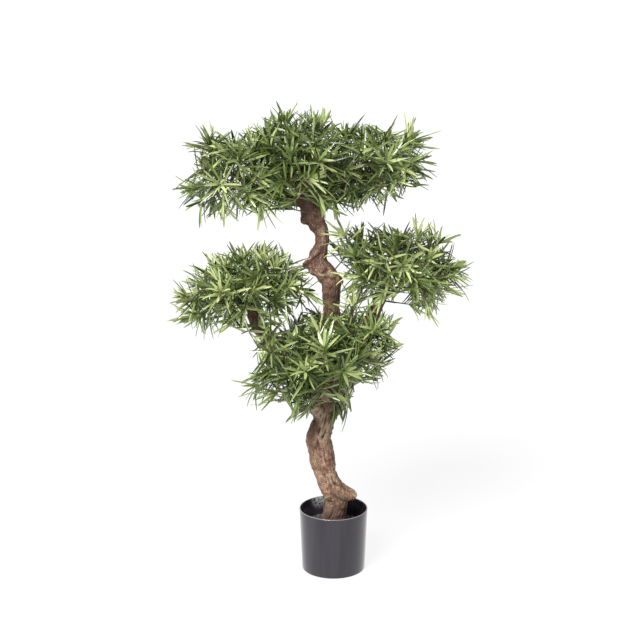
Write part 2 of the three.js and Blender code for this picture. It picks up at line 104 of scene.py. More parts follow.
BOUGHS = {
    "bough_left": [
        (-18, 8, 400, 21), (-52, 16, 432, 20), (-95, 18, 490, 18), (-140, 12, 548, 17),
        (-172, 4, 592, 16.5), (-184, 0, 622, 13.5), (-185, 0, 650, 10),
    ],
    "bough_right": [
        (-8, 14, 404, 21), (24, 24, 450, 19), (54, 24, 510, 17.5), (74, 16, 568, 16.5), (90, 6, 620, 16),
        (108, 0, 664, 13.5), (124, 0, 696, 9),
    ],
    "bough_low_left": [(-12, 8, 428, 15), (-42, -22, 452, 12), (-76, -40, 480, 9.5), (-98, -46, 500, 7.5)],
    "bough_low_front": [(-12, 8, 420, 16), (-18, -36, 440, 13), (-24, -70, 464, 10), (-26, -92, 488, 7.5)],
    "bough_low_right": [(-2, 14, 470, 14), (28, -8, 490, 12), (58, -24, 508, 9.5), (76, -32, 524, 7.5)],
    "bough_low_back": [(0, 16, 450, 14), (-10, 52, 470, 11), (-18, 76, 490, 7.5)],
    "bough_crown_left": [(-54, 2, 880, 15), (-92, -4, 886, 13.5), (-138, -6, 898, 11), (-176, -6, 914, 8)],
    "bough_crown_right": [(-56, 2, 890, 13), (-22, 6, 902, 11.5), (22, 6, 920, 9.5), (60, 2, 938, 7.5)],
    "bough_crown_front": [(-58, 0, 906, 11), (-58, -34, 916, 9), (-56, -62, 934, 7)],
    "bough_crown_back": [(-60, 0, 916, 11), (-64, 34, 926, 9), (-68, 62, 944, 7)],
}
# Each pad: the middle and half axes of its ellipsoid, its count of tufts, the sine of the lowest one and
# the degrees that its right side is raised.
PADS = {
    "crown_middle": ((-60, 0, 968), (165, 165, 130), 17, -0.9, 0),
    "crown_left": ((-216, -6, 942), (148, 146, 116), 12, -0.8, 6),
    "crown_right": ((98, 0, 966), (140, 142, 108), 11, -0.75, 14),
    "left": ((-206, 4, 674), (184, 150, 114), 14, -0.8, 14),
    "right": ((142, 4, 723), (186, 150, 120), 14, -0.75, -7),
    "low": ((-26, -34, 514), (216, 188, 130), 21, -0.85, 18),
}
# Each mass: its pad, its middle and the limb that it grows from.
MASSES = {
    "crown_top": ("crown_middle", (-66, 0, 1040), "trunk"),
    "crown_front": ("crown_middle", (-56, -96, 945), "bough_crown_front"),
    "crown_back": ("crown_middle", (-68, 96, 950), "bough_crown_back"),
    "crown_left": ("crown_left", (-226, -4, 934), "bough_crown_left"),
    "crown_right": ("crown_right", (104, 0, 956), "bough_crown_right"),
    "left_front": ("left", (-208, -72, 684), "bough_left"),
    "left_back": ("left", (-206, 80, 686), "bough_left"),
    "right_front": ("right", (152, -72, 722), "bough_right"),
    "right_back": ("right", (150, 80, 724), "bough_right"),
    "low_left": ("low", (-140, -38, 490), "bough_low_left"),
    "low_front": ("low", (-24, -128, 518), "bough_low_front"),
    "low_right": ("low", (96, -36, 562), "bough_low_right"),
    "low_back": ("low", (-22, 84, 534), "bough_low_back"),
}

# ---------------------------------------------------------------- the photo's camera

CAMERA = {"place": (-31.8, -3600.0, 1580.0), "pitch": 15.12, "focal_px": 1633.0, "frame_px": 640.0}
PIXEL = 2.28  # millimetres across one pixel of the photo at the tree


def seen(px, py, y):
    """The place that a pixel of the photo shows at the depth `y`, to a whole millimetre."""
    middle, focal, pitch = CAMERA["frame_px"] / 2, CAMERA["focal_px"], math.radians(CAMERA["pitch"])
    right, up = (px - middle) / focal, (middle - py) / focal
    eye_x, eye_y, eye_z = CAMERA["place"]
    away = (y - eye_y) / (math.cos(pitch) + up * math.sin(pitch))
    rise = up * math.cos(pitch) - math.sin(pitch)
    return round(eye_x + right * away), y, round(eye_z + rise * away)


# ---------------------------------------------------------------- sizes of what is finer than the solids

WOOD = {"rings_per_span": 6, "sides": 28, "voxel": 1.8, "seat": 0.3, "fully_shaded_furrow": 5.0, "block": 4096}
# Two sets of lobes in a limb's section: how many, their depth as a share of its radius, how far they turn in
# each span, and where they start.
LOBES = ((3, 0.05, 0.35, 0), (5, 0.035, -0.5, 1))
# Old wood that lies along the trunk, in the form of the stubs.
STRANDS = [
    [(-30, -6, 373, 7), (-42, -9, 357, 10), (-50, -9, 338, 11), (-52, -9, 321, 11), (-46, -5, 304, 6)],
    [(-20, -13, 113, 8), (-15, -18, 132, 8), (-6, -21, 150, 7), (2, -19, 164, 3)],
    [(-8, -16, 390, 4), (-12, -22, 362, 6), (-18, -27, 335, 5), (-20, -27, 310, 3)],
    [(-50, -6, 856, 14), (-58, -6, 846, 13), (-61, -5, 838, 9)],
    [(-26, -6, 792, 10), (-34, -9, 768, 13), (-48, -9, 750, 12), (-60, -7, 740, 9)],
    [(-56, -9, 728, 6), (-40, -13, 722, 9), (-22, -14, 722, 10), (-4, -12, 714, 10), (10, -8, 704, 9)],
    [(-30, -14, 884, 4), (-28, -16, 852, 6), (-22, -12, 820, 5), (-20, -12, 790, 3)],
]
# Furrows in the skin: points that each runs through, half width, depth and how much painted shade it gets.
FURROWS = [
    (3.4, 4.0, 0.5, [(-33, -24, 384), (-35, -27, 352), (-38, -29, 318), (-43, -27, 304)]),
    (2.2, 3.5, 0.7, [(2, -26, 300), (-2, -30, 280), (6, -28, 262), (2, -30, 244)]),
    (1.8, 2.0, 0.6, [(-26, -26, 292), (-24, -30, 270), (-18, -32, 250)]),
    (2.4, 3.5, 0.7, [(-2, -28, 226), (12, -30, 216), (26, -26, 212)]),
    (4.0, 9.0, 0.8, [(-16, -26, 172), (6, -32, 168), (28, -30, 166), (50, -20, 171)]),
    (6.0, 5.0, 0.4, [(-40, -18, 366), (-46, -8, 367), (-48, 4, 368), (-44, 12, 367)]),
    (7.0, 7.0, 0.0, [(-56, -6, 824), (-58, 4, 825), (-52, 14, 825)]),
    (5.6, 5.0, 0.7, [seen(322, 249, -16), seen(319, 256, -20), seen(313, 260, -22), seen(306, 266, -14)]),
    (3.0, 4.5, 0.7, [seen(308, 270, -16), seen(315, 272, -24), seen(321, 274, -26), seen(327, 270, -20)]),
    (2.2, 3.0, 0.8, [seen(318, 213, -24), seen(315, 222, -24), (-46, -18, 823)]),
    (2.2, 3.0, 0.8, [(0, -20, 700), (-4, -22, 682), (-2, -20, 660)]),
    (2.6, 4.0, 0.9, [(14, -14, 706), (20, -10, 700), (20, -8, 690)]),
]
FURROW_EDGES = {"amount": 0.5, "length": 4.0}
# Places where the wood is darker or lighter than round it: the middle, the radius and the amount. Below 0
# this is partly painted shade, on the foot under the heel, in the knee's hollow and on the wood under the
# foliage, and partly darker wood such as the dark strand on the left.
WOOD_TONES_AND_SHADE = [
    (seen(312, 428, -16), 14, -1.0), (seen(311, 437, -16), 13, -1.0), (seen(313, 444, -16), 10, -0.7),
    (seen(312, 456, -16), 8, -0.7), (seen(315, 466, -16), 8, -0.5), (seen(320, 414, -26), 13, 0.9),
    (seen(323, 425, -28), 13, 1.0), (seen(321, 436, -28), 13, 0.8), ((-48, -18, 399), 14, 1.0),
    (seen(332, 418, -20), 10, -0.4), (seen(334, 455, -22), 12, -0.6), (seen(330, 463, -26), 11, -0.4),
    (seen(329, 477, -28), 13, 0.35), (seen(319, 472, -28), 10, 0.25), (seen(343, 486, -22), 9, -1.0),
    (seen(336, 496, -30), 12, -0.45), (seen(346, 502, -26), 9, -0.5), (seen(356, 495, -16), 8, 0.9),
    ((1, -26, 138), 30, -1.0), ((-8, -26, 116), 26, -1.0), ((16, -28, 122), 24, -1.0),
    (seen(322, 506, -24), 6, 1.0), (seen(344, 512, -24), 10, -0.9), (seen(306, 212, -14), 24, -1.0),
    (seen(303, 201, -14), 22, -1.0), (seen(304, 222, -10), 7, 0.4), ((-68, -8, 739), 8, -0.8),
    ((-55, -16, 754), 7, 0.6), ((-38, -24, 750), 12, -0.8), (seen(323, 232, -18), 12, 0.35),
    (seen(315, 254, -22), 8, 0.5), (seen(322, 276, -24), 10, 0.5), (seen(330, 273, -24), 8, 0.4),
    (seen(340, 276, -10), 6, 0.5), (seen(343, 282, -8), 6, -1.0), (seen(330, 288, -22), 7, -0.6),
    ((0, -18, 668), 30, -0.95), (seen(256, 318, 0), 26, -0.9), (seen(263, 330, 0), 22, -0.9),
    (seen(380, 298, 0), 26, -0.7), (seen(378, 314, 0), 22, -0.7),
]
# Relief of the bark: heights and lengths of its forms.
BARK = {
    "lumps": {"height": 2.3, "length": 17.0},
    "bumps": {"height": 1.3, "length": 8.5},
    "fibres": {"height": 1.3, "across": 4.2, "along": 30.0, "under_crust": 0.6},
    "crust": {"height": 2.0, "across": 4.6, "along": 10.0},
    "crust_patches": {"length": 34.0, "low": -0.12, "high": 0.2},
    "grains": {"height": 0.35, "length": 2.4},
}
FILL = {
    "rings": 46,
    "wall_gap": 0.3,
    "lumps": ((2.2, 17.0), (1.3, 6.5), (0.7, 3.2)),  # heights and lengths
    "least_lump": 0.25,  # share of the lumps that is left in the middle
}
GRIT = {"count": 420, "sizes": (1.6, 4.2), "rise": 0.3, "wall_gap": 2.5, "bark_gap": 1.5, "seed": 21}
STONE = {"uneven": (0.75, 1.15), "flattened": (0.6, 1.0)}  # shares of its size
SIDE_SHOOTS = {
    "generations": 2,
    "starts": (0.35, 0.6, 0.85),  # shares of a twig's way to its foot
    "tries": 8,
    "lengths": (24.0, 48.0),
    "spread": (35.0, 80.0),  # degrees from the shoot that they leave
    "spacing": 33.0,  # least distance between the middles of two shoots
    "outermost": 0.66,  # of the pad's reach, for their tips
    "shoot": 26.0,
}
# Twigs that leave the limbs themselves, where they run through foliage.
LIMB_SHOOTS = {
    "every": 3,  # stations
    "tries": 6,
    "lengths": (14.0, 34.0),  # past the bark
    "spread": (55.0, 88.0),
    "innermost": 0.9,  # share of a pad's reach inside which they start
    "outermost": 0.84,
}
# Sprays that the outline needs besides: the foot of a shoot and its direction.
CHOSEN_SHOOTS = [
    ((-266, -20, 996), (-0.1, -0.3, 1)), (seen(286, 135, -20), (0, -0.2, 1)),
    (seen(206, 196, -60), (-0.6, -0.5, -0.6)), (seen(432, 250, -30), (0.7, -0.3, 0.8)),
    (seen(350, 244, -40), (-0.5, -0.4, 0.9)), (seen(198, 300, -30), (-1, -0.4, 0.1)),
    (seen(200, 312, -40), (-0.9, -0.5, -0.3)), (seen(344, 397, -60), (0.4, -0.5, -0.9)),
    (seen(264, 382, -80), (-0.9, -0.4, -0.4)), (seen(298, 292, -60), (0.7, -0.6, 0.1)),
    (seen(424, 296, -60), (0.2, -0.5, -0.9)), (seen(318, 398, -120), (0.1, -0.8, -0.7)),
    (seen(300, 390, -120), (-0.2, -0.8, -0.6)), (seen(275, 352, -110), (-0.4, -0.9, 0.2)),
    (seen(262, 345, -80), (-0.7, -0.5, 0.5)), (seen(217, 148, -40), (-1, -0.3, 0.15)),
    (seen(261, 194, -60), (0, -0.5, -1)), (seen(282, 184, -60), (0.2, -0.5, -1)),
    (seen(334, 189, -40), (0, -0.3, -1)), (seen(352, 178, -40), (0, -0.4, -1)),
    (seen(387, 180, -40), (0.1, -0.4, -1)), (seen(417, 247, -20), (0, -0.3, 1)),
    (seen(439, 275, -30), (1, -0.3, 0)), (seen(394, 148, -20), (1, -0.3, 0.4)),
    (seen(406, 150, -20), (0.3, -0.2, 1)), (seen(315, 141, -20), (0, -0.3, 1)),
    (seen(240, 272, -10), (0, -0.3, 1)), (seen(264, 272, -10), (0, -0.3, 1)),
    (seen(269, 336, -70), (0.1, -1, 0.1)), (seen(386, 336, -50), (0.3, -1, 0.4)),
    (seen(404, 167, -30), (0.3, -0.4, -1)), (seen(352, 314, -20), (0.1, -0.4, 1)),
    (seen(412, 292, -40), (0, -0.4, -1)), (seen(374, 332, -60), (-0.2, -1, 0.5)),
    ((-22, 84, 560), (0, 1, 0.4)), ((34, 74, 548), (0.5, 1, 0.2)), ((-84, 74, 528), (-0.5, 1, 0.1)),
    ((-58, 78, 486), (-0.2, 1, -0.5)), ((10, 78, 498), (0.3, 1, -0.5)), ((86, 48, 570), (1, 0.8, 0.3)),
    ((-140, 40, 520), (-1, 0.8, 0)), (seen(255, 160, -30), (0, -0.3, 1)),
    (seen(338, 393, -60), (0, -0.4, -1)), (seen(440, 272, -10), (1, -0.2, 0.4)),
    (seen(199, 291, -40), (-0.3, -0.3, -1)), (seen(374, 340, -60), (0.6, -0.6, 0.8)),
    (seen(262, 384, -60), (-0.7, -0.4, -0.6)), (seen(269, 150, -10), (-0.1, -0.2, 1)),
    (seen(223, 194, -40), (0, -0.5, -1)), (seen(289, 386, -90), (0, -0.6, -1)),
    (seen(347, 149, -10), (0, -0.2, 1)), (seen(254, 157, -10), (0, -0.2, 1)),
    (seen(370, 345, -40), (1, -0.4, 0.1)), (seen(394, 262, -20), (0, -0.2, 1)),
    (seen(352, 381, -70), (0.2, -0.6, -1)), (seen(208, 187, -30), (-1, -0.3, -0.1)),
    (seen(210, 157, -20), (0, -0.2, 1)),
]
# Where sky or bark shows between the sprays, read off the photo: a pixel and a radius in pixels.
OPENINGS = [
    (182, 161, 8), (189, 157, 6), (187, 171, 6), (176, 206, 4), (190, 217, 9), (196, 214, 5),
    (215, 227, 7), (231, 225, 7), (238, 231, 10), (251, 220, 7), (293, 212, 9), (308, 214, 12),
    (331, 211, 3), (344, 219, 4), (371, 209, 5), (397, 213, 12), (416, 197, 11), (424, 191, 5),
    (191, 133, 7), (219, 124, 5), (229, 122, 7), (243, 123, 3), (340, 113, 6), (368, 115, 4),
    (385, 118, 9), (399, 125, 5), (421, 121, 6), (436, 157, 4), (441, 171, 4), (165, 289, 7),
    (167, 310, 8), (168, 325, 5), (178, 329, 5), (180, 274, 4), (199, 257, 7), (221, 244, 4),
    (250, 239, 5), (270, 238, 5), (285, 242, 4), (296, 250, 5), (301, 257, 3), (197, 343, 7),
    (182, 334, 7), (228, 340, 10), (231, 336, 7), (243, 340, 10), (252, 316, 7), (257, 325, 6),
    (248, 360, 10), (239, 371, 5), (233, 389, 7), (238, 404, 7), (249, 413, 6), (262, 416, 5),
    (271, 411, 8), (282, 410, 9), (294, 428, 5), (303, 425, 7), (314, 421, 8), (322, 410, 9),
    (328, 433, 7), (351, 418, 6), (362, 416, 6), (364, 396, 14), (378, 404, 12), (390, 390, 10),
    (397, 371, 9), (401, 372, 11), (410, 350, 8), (404, 328, 8), (405, 336, 4), (405, 356, 8),
    (400, 304, 10), (389, 303, 6), (406, 306, 7), (419, 328, 6), (429, 329, 8), (447, 317, 5),
    (457, 301, 6), (454, 311, 9), (476, 272, 5), (449, 227, 6), (463, 249, 9), (375, 216, 6),
    (338, 266, 6), (347, 282, 3), (325, 286, 7), (331, 279, 7), (319, 270, 6), (327, 296, 6),
]
TWIG_LOOK = {"stem": 4.2, "fork": 2.1, "foot": 1.5, "tip": 1.1, "sides": 6, "spans": 4}
# Leaves of a spray from its foot up: the long ones and the short ones round the bud.
OUTER = {"count": 16, "lengths": (56, 80), "widths": (4.3, 6.2), "leans": (84, 38), "along": (0.0, 0.8)}
INNER = {"count": 7, "lengths": (38, 58), "widths": (5.6, 7.8), "leans": (50, 18), "along": (0.8, 1.0)}
BLADE = {
    "shares": (0.0, 0.08, 0.28, 0.52, 0.77, 0.93),  # of the length, where the outline has its points
    "halves": (0.3, 0.6, 0.94, 1.0, 0.8, 0.42),  # of the half width there
    "fold": 0.3,  # rise of the edges over the midrib, as a share of the half width
    "thickness": 0.7,
    "arch": (-0.01, 0.06),
    "droop": (0.0, 0.10),
    "roll": 38.0,  # degrees
    "turn_slack": 0.25,  # radians either way round the shoot
    "lean_slack": 11,  # degrees either way
    "bark_gap": 2.0,
    "tested": (0.4, 0.6, 0.8, 1.0),  # shares of a leaf's length that keep out of the openings
    "reach": 1.06,  # of the pad's reach, past which no tip goes
}
# Plain colours of the leaves, dark to light, and how each kind of spray shares them out.
TINTS = {
    "deep": (0.028, 0.045, 0.007),
    "dark": (0.086, 0.124, 0.026),
    "green": (0.206, 0.264, 0.088),
    "fresh": (0.345, 0.405, 0.160),
    "light": (0.500, 0.560, 0.250),
}
LEAF_GLOSS = {"roughness": 0.29, "Specular_IOR_Level": 0.72}
SPRAY_KINDS = [
    {"outer": ("deep", "dark", "dark", "green"), "inner": ("dark", "green")},
    {"outer": ("dark", "green", "deep"), "inner": ("green", "fresh")},
    {"outer": ("green", "fresh", "fresh", "dark"), "inner": ("fresh", "light")},
]
# The share of each kind in each pad. The left and right pads take more of the light kinds, partly for their
# bright new leaves and partly as painted light that lifts them out of the crown's shade.
KIND_SHARES = {
    "crown_middle": (0.64, 0.28, 0.08),
    "crown_left": (0.64, 0.28, 0.08),
    "crown_right": (0.64, 0.28, 0.08),
    "left": (0.12, 0.40, 0.48),
    "right": (0.14, 0.42, 0.44),
    "low": (0.50, 0.34, 0.16),
}
NEW_GROWTH_KIND = {"outer": ("green", "green", "fresh"), "inner": ("green", "fresh", "light")}
# Where the tree has its new growth.
NEW_GROWTH = {
    "within": 38.0,
    "spots": [
        seen(425, 305, -90), seen(415, 232, -90), seen(290, 305, -90), seen(205, 318, -90),
        seen(232, 275, -90), seen(252, 388, -90), (-3, -110, 534), seen(258, 195, -90), (-45, -110, 947),
        (-270, -60, 1020), seen(372, 200, -90), (150, -60, 1000),
    ],
}
LOOK_SEED = 7
# Steps to a millimetre in which a place seeds its own random stream.
SEED_STEPS = 4
# A direction that no shoot follows, from which the turns round a shoot are counted.
SHOOT_GUIDE = np.array([0.3, 0.2, 1.0])

# ---------------------------------------------------------------- the source's rule of growth

# A linear congruential generator on 32 bits.
SPREAD, FACTOR, STEP, RANGE = 2654435761, 1664525, 1013904223, 2**32


def random_from(seed):
    """A seeded source of numbers from 0 to 1."""
    state = (seed + 1) * SPREAD % RANGE

    def draw():
        nonlocal state
        state = (state * FACTOR + STEP) % RANGE
        return state / RANGE

    draw()
    return draw


def mix(low, high, share):
    return low + (high - low) * share


def point(values):
    return np.array(values[:3], float)


def unit(vector):
    return vector / np.linalg.norm(vector)


def towards(start, end):
    return unit(end - start)


def smooth_stations(stations, per_span):
    """Stations on the Catmull-Rom curve through the given ones, `per_span` to each span."""
    given = np.array(stations, float)
    padded = np.vstack([2 * given[0] - given[1], given, 2 * given[-1] - given[-2]])
    found = []
    for i in range(len(given) - 1):
        before, start, end, after = padded[i : i + 4]
        out, into = (end - before) / 2, (after - start) / 2
        last = i == len(given) - 2
        for share in np.arange(per_span + last) / per_span:
            found.append(
                start
                + out * share
                + (3 * (end - start) - 2 * out - into) * share**2
                + (2 * (start - end) + out + into) * share**3
            )
    return np.array(found)


STATIONS_PER_SPAN = 4
LIMBS = {"trunk": TRUNK, **BOUGHS}
LIMB_STATIONS = {name: smooth_stations(stations, STATIONS_PER_SPAN) for name, stations in LIMBS.items()}
ALL_STATIONS = np.vstack(list(LIMB_STATIONS.values()))


def mass_planes(name):
    """The points and inward normals of the planes halfway between a mass and every other."""
    own = point(MASSES[name][1])
    others = [point(MASSES[other][1]) for other in MASSES if other != name]
    halfway = np.array([(own + other) / 2 for other in others])
    normals = np.array([towards(other, own) for other in others])
    return halfway, normals


PLANES = {name: mass_planes(name) for name in MASSES}


def depth_inside(place, name):
    """How far a point lies inside the space of a mass."""
    halfway, normals = PLANES[name]
    return np.min(np.sum((place - halfway) * normals, axis=1))


def settled(place, name, margin, onward=0.0):
    """The point, moved until it and what lies at `onward` from it are `margin` deep in the mass's space."""
    own = point(MASSES[name][1])
    for _ in range(SETTLING["moves"]):
        if min(depth_inside(place, name), depth_inside(place + onward, name)) >= margin:
            break
        place = mix(place, own, SETTLING["share"])
    return place


def near_limb(place, margin):
    """Whether a point comes within `margin` of a limb's bark."""
    distances = np.linalg.norm(ALL_STATIONS[:, :3] - place, axis=1)
    return bool(np.any(distances < ALL_STATIONS[:, 3] + margin))


def misses_limbs(start, end):
    """Whether a straight twig stays clear of every limb past its foot."""
    spans = math.ceil(np.linalg.norm(end - start) / TWIG["step"])
    places = [mix(start, end, (i + 1) / spans) for i in range(spans)]
    return not any(near_limb(p, TWIG["fork_radius"] + TWIG["bark_gap"]) for p in places)


def mass_at(place, pad):
    """The mass of this pad that a point belongs to."""
    names = [name for name in MASSES if MASSES[name][0] == pad]
    return min(names, key=lambda name: np.linalg.norm(place - point(MASSES[name][1])))


def raised_right(degrees):
    """The turn that raises what lies at +X."""
    c, s = math.cos(math.radians(degrees)), math.sin(math.radians(degrees))
    return np.array([(c, 0, -s), (0, 1, 0), (s, 0, c)])


def share_of_reach(place, pad_name, margin=0.0):
    """How far out a point lies in a pad, with 1 at its outer face less a margin."""
    middle, reach, _, _, raised = PADS[pad_name]
    return np.linalg.norm(raised_right(raised).T @ (place - point(middle)) / (point(reach) - margin))


def tufts_of(pad_name, seed):
    """The feet and directions of a pad's tufts, spread evenly over it by the golden angle."""
    middle, reach, count, lowest, raised = PADS[pad_name]
    tilt = raised_right(raised)
    draw = random_from(seed)
    spin = 2 * math.pi * draw()
    inner = point(reach) - PAD["margin"]
    tufts = []
    for i in range(count):
        height = mix(PAD["highest"], lowest, (i + 0.5) / count)
        turn = spin + i * GOLDEN_ANGLE + PAD["turn_spread"] * (draw() - 0.5)
        flat = math.sqrt(1 - height * height)
        out = np.array([flat * math.cos(turn), flat * math.sin(turn), height])
        foot = point(middle) + tilt @ (inner * mix(*PAD["insets"], draw()) * out)
        axis = tilt @ unit(out / point(reach))
        axis[2] += PAD["lift"]
        tufts.append({"foot": foot, "axis": unit(axis), "mass": mass_at(foot, pad_name)})
    return tufts


def mass_twigs(name, tufts):
    """The stem of a mass and a twig from the nearest wood so far to each of its tufts."""
    before, tip = LIMB_STATIONS[MASSES[name][2]][-2:, :3]
    margin = TWIG["stem_radius"] + TWIG["bark_gap"]
    root = settled(before, name, margin)
    hub = settled(tip + towards(before, tip) * TWIG["stem"], name, margin)
    wood = [mix(root, hub, share) for share in TWIG["stem_forks"]]
    twigs = []
    for tuft in sorted(tufts, key=lambda t: np.linalg.norm(t["foot"] - hub)):
        shoot = tuft["axis"] * TUFT["shoot"]
        foot = settled(tuft["foot"], name, TUFT["depth"], shoot)
        starts = [
            at
            for at in wood
            if towards(at, foot) @ tuft["axis"] > TWIG["sharpest"]
            and misses_limbs(at, foot)
            and misses_limbs(foot, foot + shoot)
        ]
        if not starts:
            continue
        start = min(starts, key=lambda at: np.linalg.norm(at - foot))
        wood = [at for at in wood if at is not start]
        wood += [mix(start, foot, share) for share in TWIG["forks"]]
        twigs.append({"start": start, "foot": foot, "axis": tuft["axis"], "shoot": TUFT["shoot"]})
    return (root, hub), twigs


# ---------------------------------------------------------------- finer twigs within the same reach


def turned_from(axis, degrees, turn):
    """The direction at that many degrees from an axis, at that turn round it."""
    side = unit(np.cross(SHOOT_GUIDE, axis))
    up = np.cross(axis, side)
    outward = side * math.cos(turn) + up * math.sin(turn)
    lean = math.radians(degrees)
    return axis * math.cos(lean) + outward * math.sin(lean)


def own_random(place):
    """A random stream that depends on a place alone, so that it stays when its neighbours change."""
    return np.random.default_rng([LOOK_SEED, *np.rint(np.abs(place) * SEED_STEPS).astype(int)])


def shoot_middle(twig):
    return twig["foot"] + twig["axis"] * twig["shoot"] / 2


EYE = point(CAMERA["place"])
SIGHT_LINES = np.array([towards(EYE, point(seen(px, py, 0))) for px, py, _ in OPENINGS])
OPENING_RADII = np.array([round(radius * PIXEL) for _, _, radius in OPENINGS], float)


def in_opening(places):
    """Whether any of the points hides sky or bark that shows between the sprays from the front."""
    offsets = np.array(places) - EYE
    along = offsets @ SIGHT_LINES.T
    gaps = np.linalg.norm(offsets[:, None] - along[:, :, None] * SIGHT_LINES, axis=2)
    return bool(np.any(gaps < OPENING_RADII))


def chosen_twigs(twigs_of):
    """The sprays that are listed one by one, each on a twig from the nearest wood of its mass."""
    found = {name: [] for name in MASSES}
    for foot, axis in CHOSEN_SHOOTS:
        foot, axis = point(foot), unit(point(axis))
        pad_name = min(PADS, key=lambda name: share_of_reach(foot, name))
        mass = mass_at(foot, pad_name)
        wood = [mix(t["start"], t["foot"], share) for t in twigs_of[mass] for share in SIDE_SHOOTS["starts"]]
        start = min(wood, key=lambda at: np.linalg.norm(at - foot))
        twig = {"start": start, "foot": foot, "axis": axis, "shoot": SIDE_SHOOTS["shoot"], "free": True}
        found[mass].append(twig)
    return found


def has_room(twig, pad_name, taken, outermost):
    """Whether a shoot stays inside its pad, clear of the limbs and of the shoots so far."""
    end = twig["foot"] + twig["axis"] * twig["shoot"]
    gaps = np.linalg.norm(np.array(taken) - shoot_middle(twig), axis=1)
    inside = share_of_reach(end, pad_name) < outermost
    return inside and gaps.min() > SIDE_SHOOTS["spacing"] and misses_limbs(twig["foot"], end)


def tried_twigs(start, guide, look, radius=0.0):
    """Twigs at several turns from one place, `radius` inside the bark that they leave."""
    rng = own_random(start)
    for attempt in range(look["tries"]):
        turn = attempt * GOLDEN_ANGLE + rng.uniform(0, 2 * math.pi)
        axis = turned_from(guide, rng.uniform(*look["spread"]), turn)
        foot = start + axis * (radius + rng.uniform(*look["lengths"]))
        yield {"start": start, "foot": foot, "axis": axis, "shoot": SIDE_SHOOTS["shoot"]}


def side_twigs(name, parents, taken):
    """Shorter twigs that leave a mass's twigs wherever there is room for another spray."""
    pad_name = MASSES[name][0]
    found = []
    for parent in parents:
        for share in SIDE_SHOOTS["starts"]:
            start = mix(parent["start"], parent["foot"], share)
            for twig in tried_twigs(start, parent["axis"], SIDE_SHOOTS):
                if has_room(twig, pad_name, taken, SIDE_SHOOTS["outermost"]):
                    found.append(twig)
                    taken.append(shoot_middle(twig))
                    break
    return found


def limb_twigs(taken):
    """Short twigs from the limbs themselves, by mass, wherever a limb runs through a pad."""
    found = {name: [] for name in MASSES}
    for stations in LIMB_STATIONS.values():
        for i in range(1, len(stations) - 1, LIMB_SHOOTS["every"]):
            start, radius = stations[i, :3], stations[i, 3]
            along = towards(stations[i - 1, :3], stations[i + 1, :3])
            pads = [name for name in PADS if share_of_reach(start, name) < LIMB_SHOOTS["innermost"]]
            if not pads:
                continue
            for twig in tried_twigs(start, along, LIMB_SHOOTS, radius):
                if has_room(twig, pads[0], taken, LIMB_SHOOTS["outermost"]):
                    found[mass_at(twig["foot"], pads[0])].append(twig)
                    taken.append(shoot_middle(twig))
    return found


def grown_masses():
    """Each mass's stem and all its twigs."""
    tufts = [tuft for i, pad in enumerate(PADS) for tuft in tufts_of(pad, TUFT_SEED + i)]
    stems, twigs = {}, {}
    for name in MASSES:
        stems[name], twigs[name] = mass_twigs(name, [t for t in tufts if t["mass"] == name])
    chosen = chosen_twigs(twigs)
    for name in MASSES:
        twigs[name] = twigs[name] + chosen[name]
    taken = [shoot_middle(twig) for mass in twigs.values() for twig in mass]
    from_limbs = limb_twigs(taken)
    parents = {name: twigs[name] for name in MASSES}
    for _ in range(SIDE_SHOOTS["generations"]):
        for name in MASSES:
            parents[name] = side_twigs(name, parents[name], taken)
            twigs[name] = twigs[name] + parents[name]
    for name in MASSES:
        twigs[name] = twigs[name] + from_limbs[name]
    return stems, twigs


# ---------------------------------------------------------------- meshes


def mesh_object(name, points, faces, materials, slots=None, smooth_degrees=40):
    """A mesh from points in millimetres, smooth but for edges that bend more than `smooth_degrees`."""
    mesh = bpy.data.meshes.new(name)
    mesh.from_pydata(np.asarray(points, float) * MM, [], faces)
    for material in materials:
        mesh.materials.append(material)
    if slots is not None:
        mesh.polygons.foreach_set("material_index", slots)
    mesh.shade_smooth()
    mesh.set_sharp_from_angle(angle=math.radians(smooth_degrees))
    made = bpy.data.objects.new(name, mesh)
    bpy.context.scene.collection.objects.link(made)
    return made


# The share of a tube's first step in X past which its rings are laid out from Y.
NEARLY_ALONG_X = 0.9


def ring_faces(rings, sides):
    """The faces of rings of points in a row, closed at both ends."""
    faces = []
    for ring in range(rings - 1):
        for k in range(sides):
            a, b = ring * sides + k, ring * sides + (k + 1) % sides
            faces.append((a, b, b + sides, a + sides))
    last = (rings - 1) * sides
    return [*faces, tuple(reversed(range(sides))), tuple(range(last, last + sides))]


def tube(stations, sides, lobes=None):
    """Points and faces of a closed tube through (x, y, z, radius) stations. `lobes` scales each ring."""
    centres = stations[:, :3]
    points = []
    turns = 2 * math.pi * np.arange(sides) / sides
    reference = np.array([1.0, 0.0, 0.0])
    for i, (x, y, z, radius) in enumerate(stations):
        along = towards(centres[max(i - 1, 0)], centres[min(i + 1, len(centres) - 1)])
        if i == 0 and abs(along[0]) > NEARLY_ALONG_X:
            reference = np.array([0.0, 1.0, 0.0])
        side = unit(reference - along * (reference @ along))
        up = np.cross(along, side)
        reference = side
        ring = np.outer(np.cos(turns), side) + np.outer(np.sin(turns), up)
        scale = lobes(turns, i)[:, None] if lobes else 1.0
        points.append(np.array([x, y, z]) + radius * scale * ring)
    return np.vstack(points), ring_faces(len(stations), sides)


def joined(parts):
    """Points and faces of several parts as one."""
    points, faces, start = [], [], 0
    for part_points, part_faces in parts:
        points.append(part_points)
        faces += [tuple(start + i for i in face) for face in part_faces]
        start += len(part_points)
    return np.vstack(points), faces


# ---------------------------------------------------------------- materials


def new_material(name, colour, roughness, **sockets):
    """A Principled material with these plain values."""
    material = bpy.data.materials.new(name)
    material.use_nodes = True
    shader = material.node_tree.nodes["Principled BSDF"]
    shader.inputs["Base Color"].default_value = (*colour, 1.0)
    shader.inputs["Roughness"].default_value = roughness
    for socket, value in sockets.items():
        shader.inputs[socket.replace("_", " ")].default_value = value
    return material


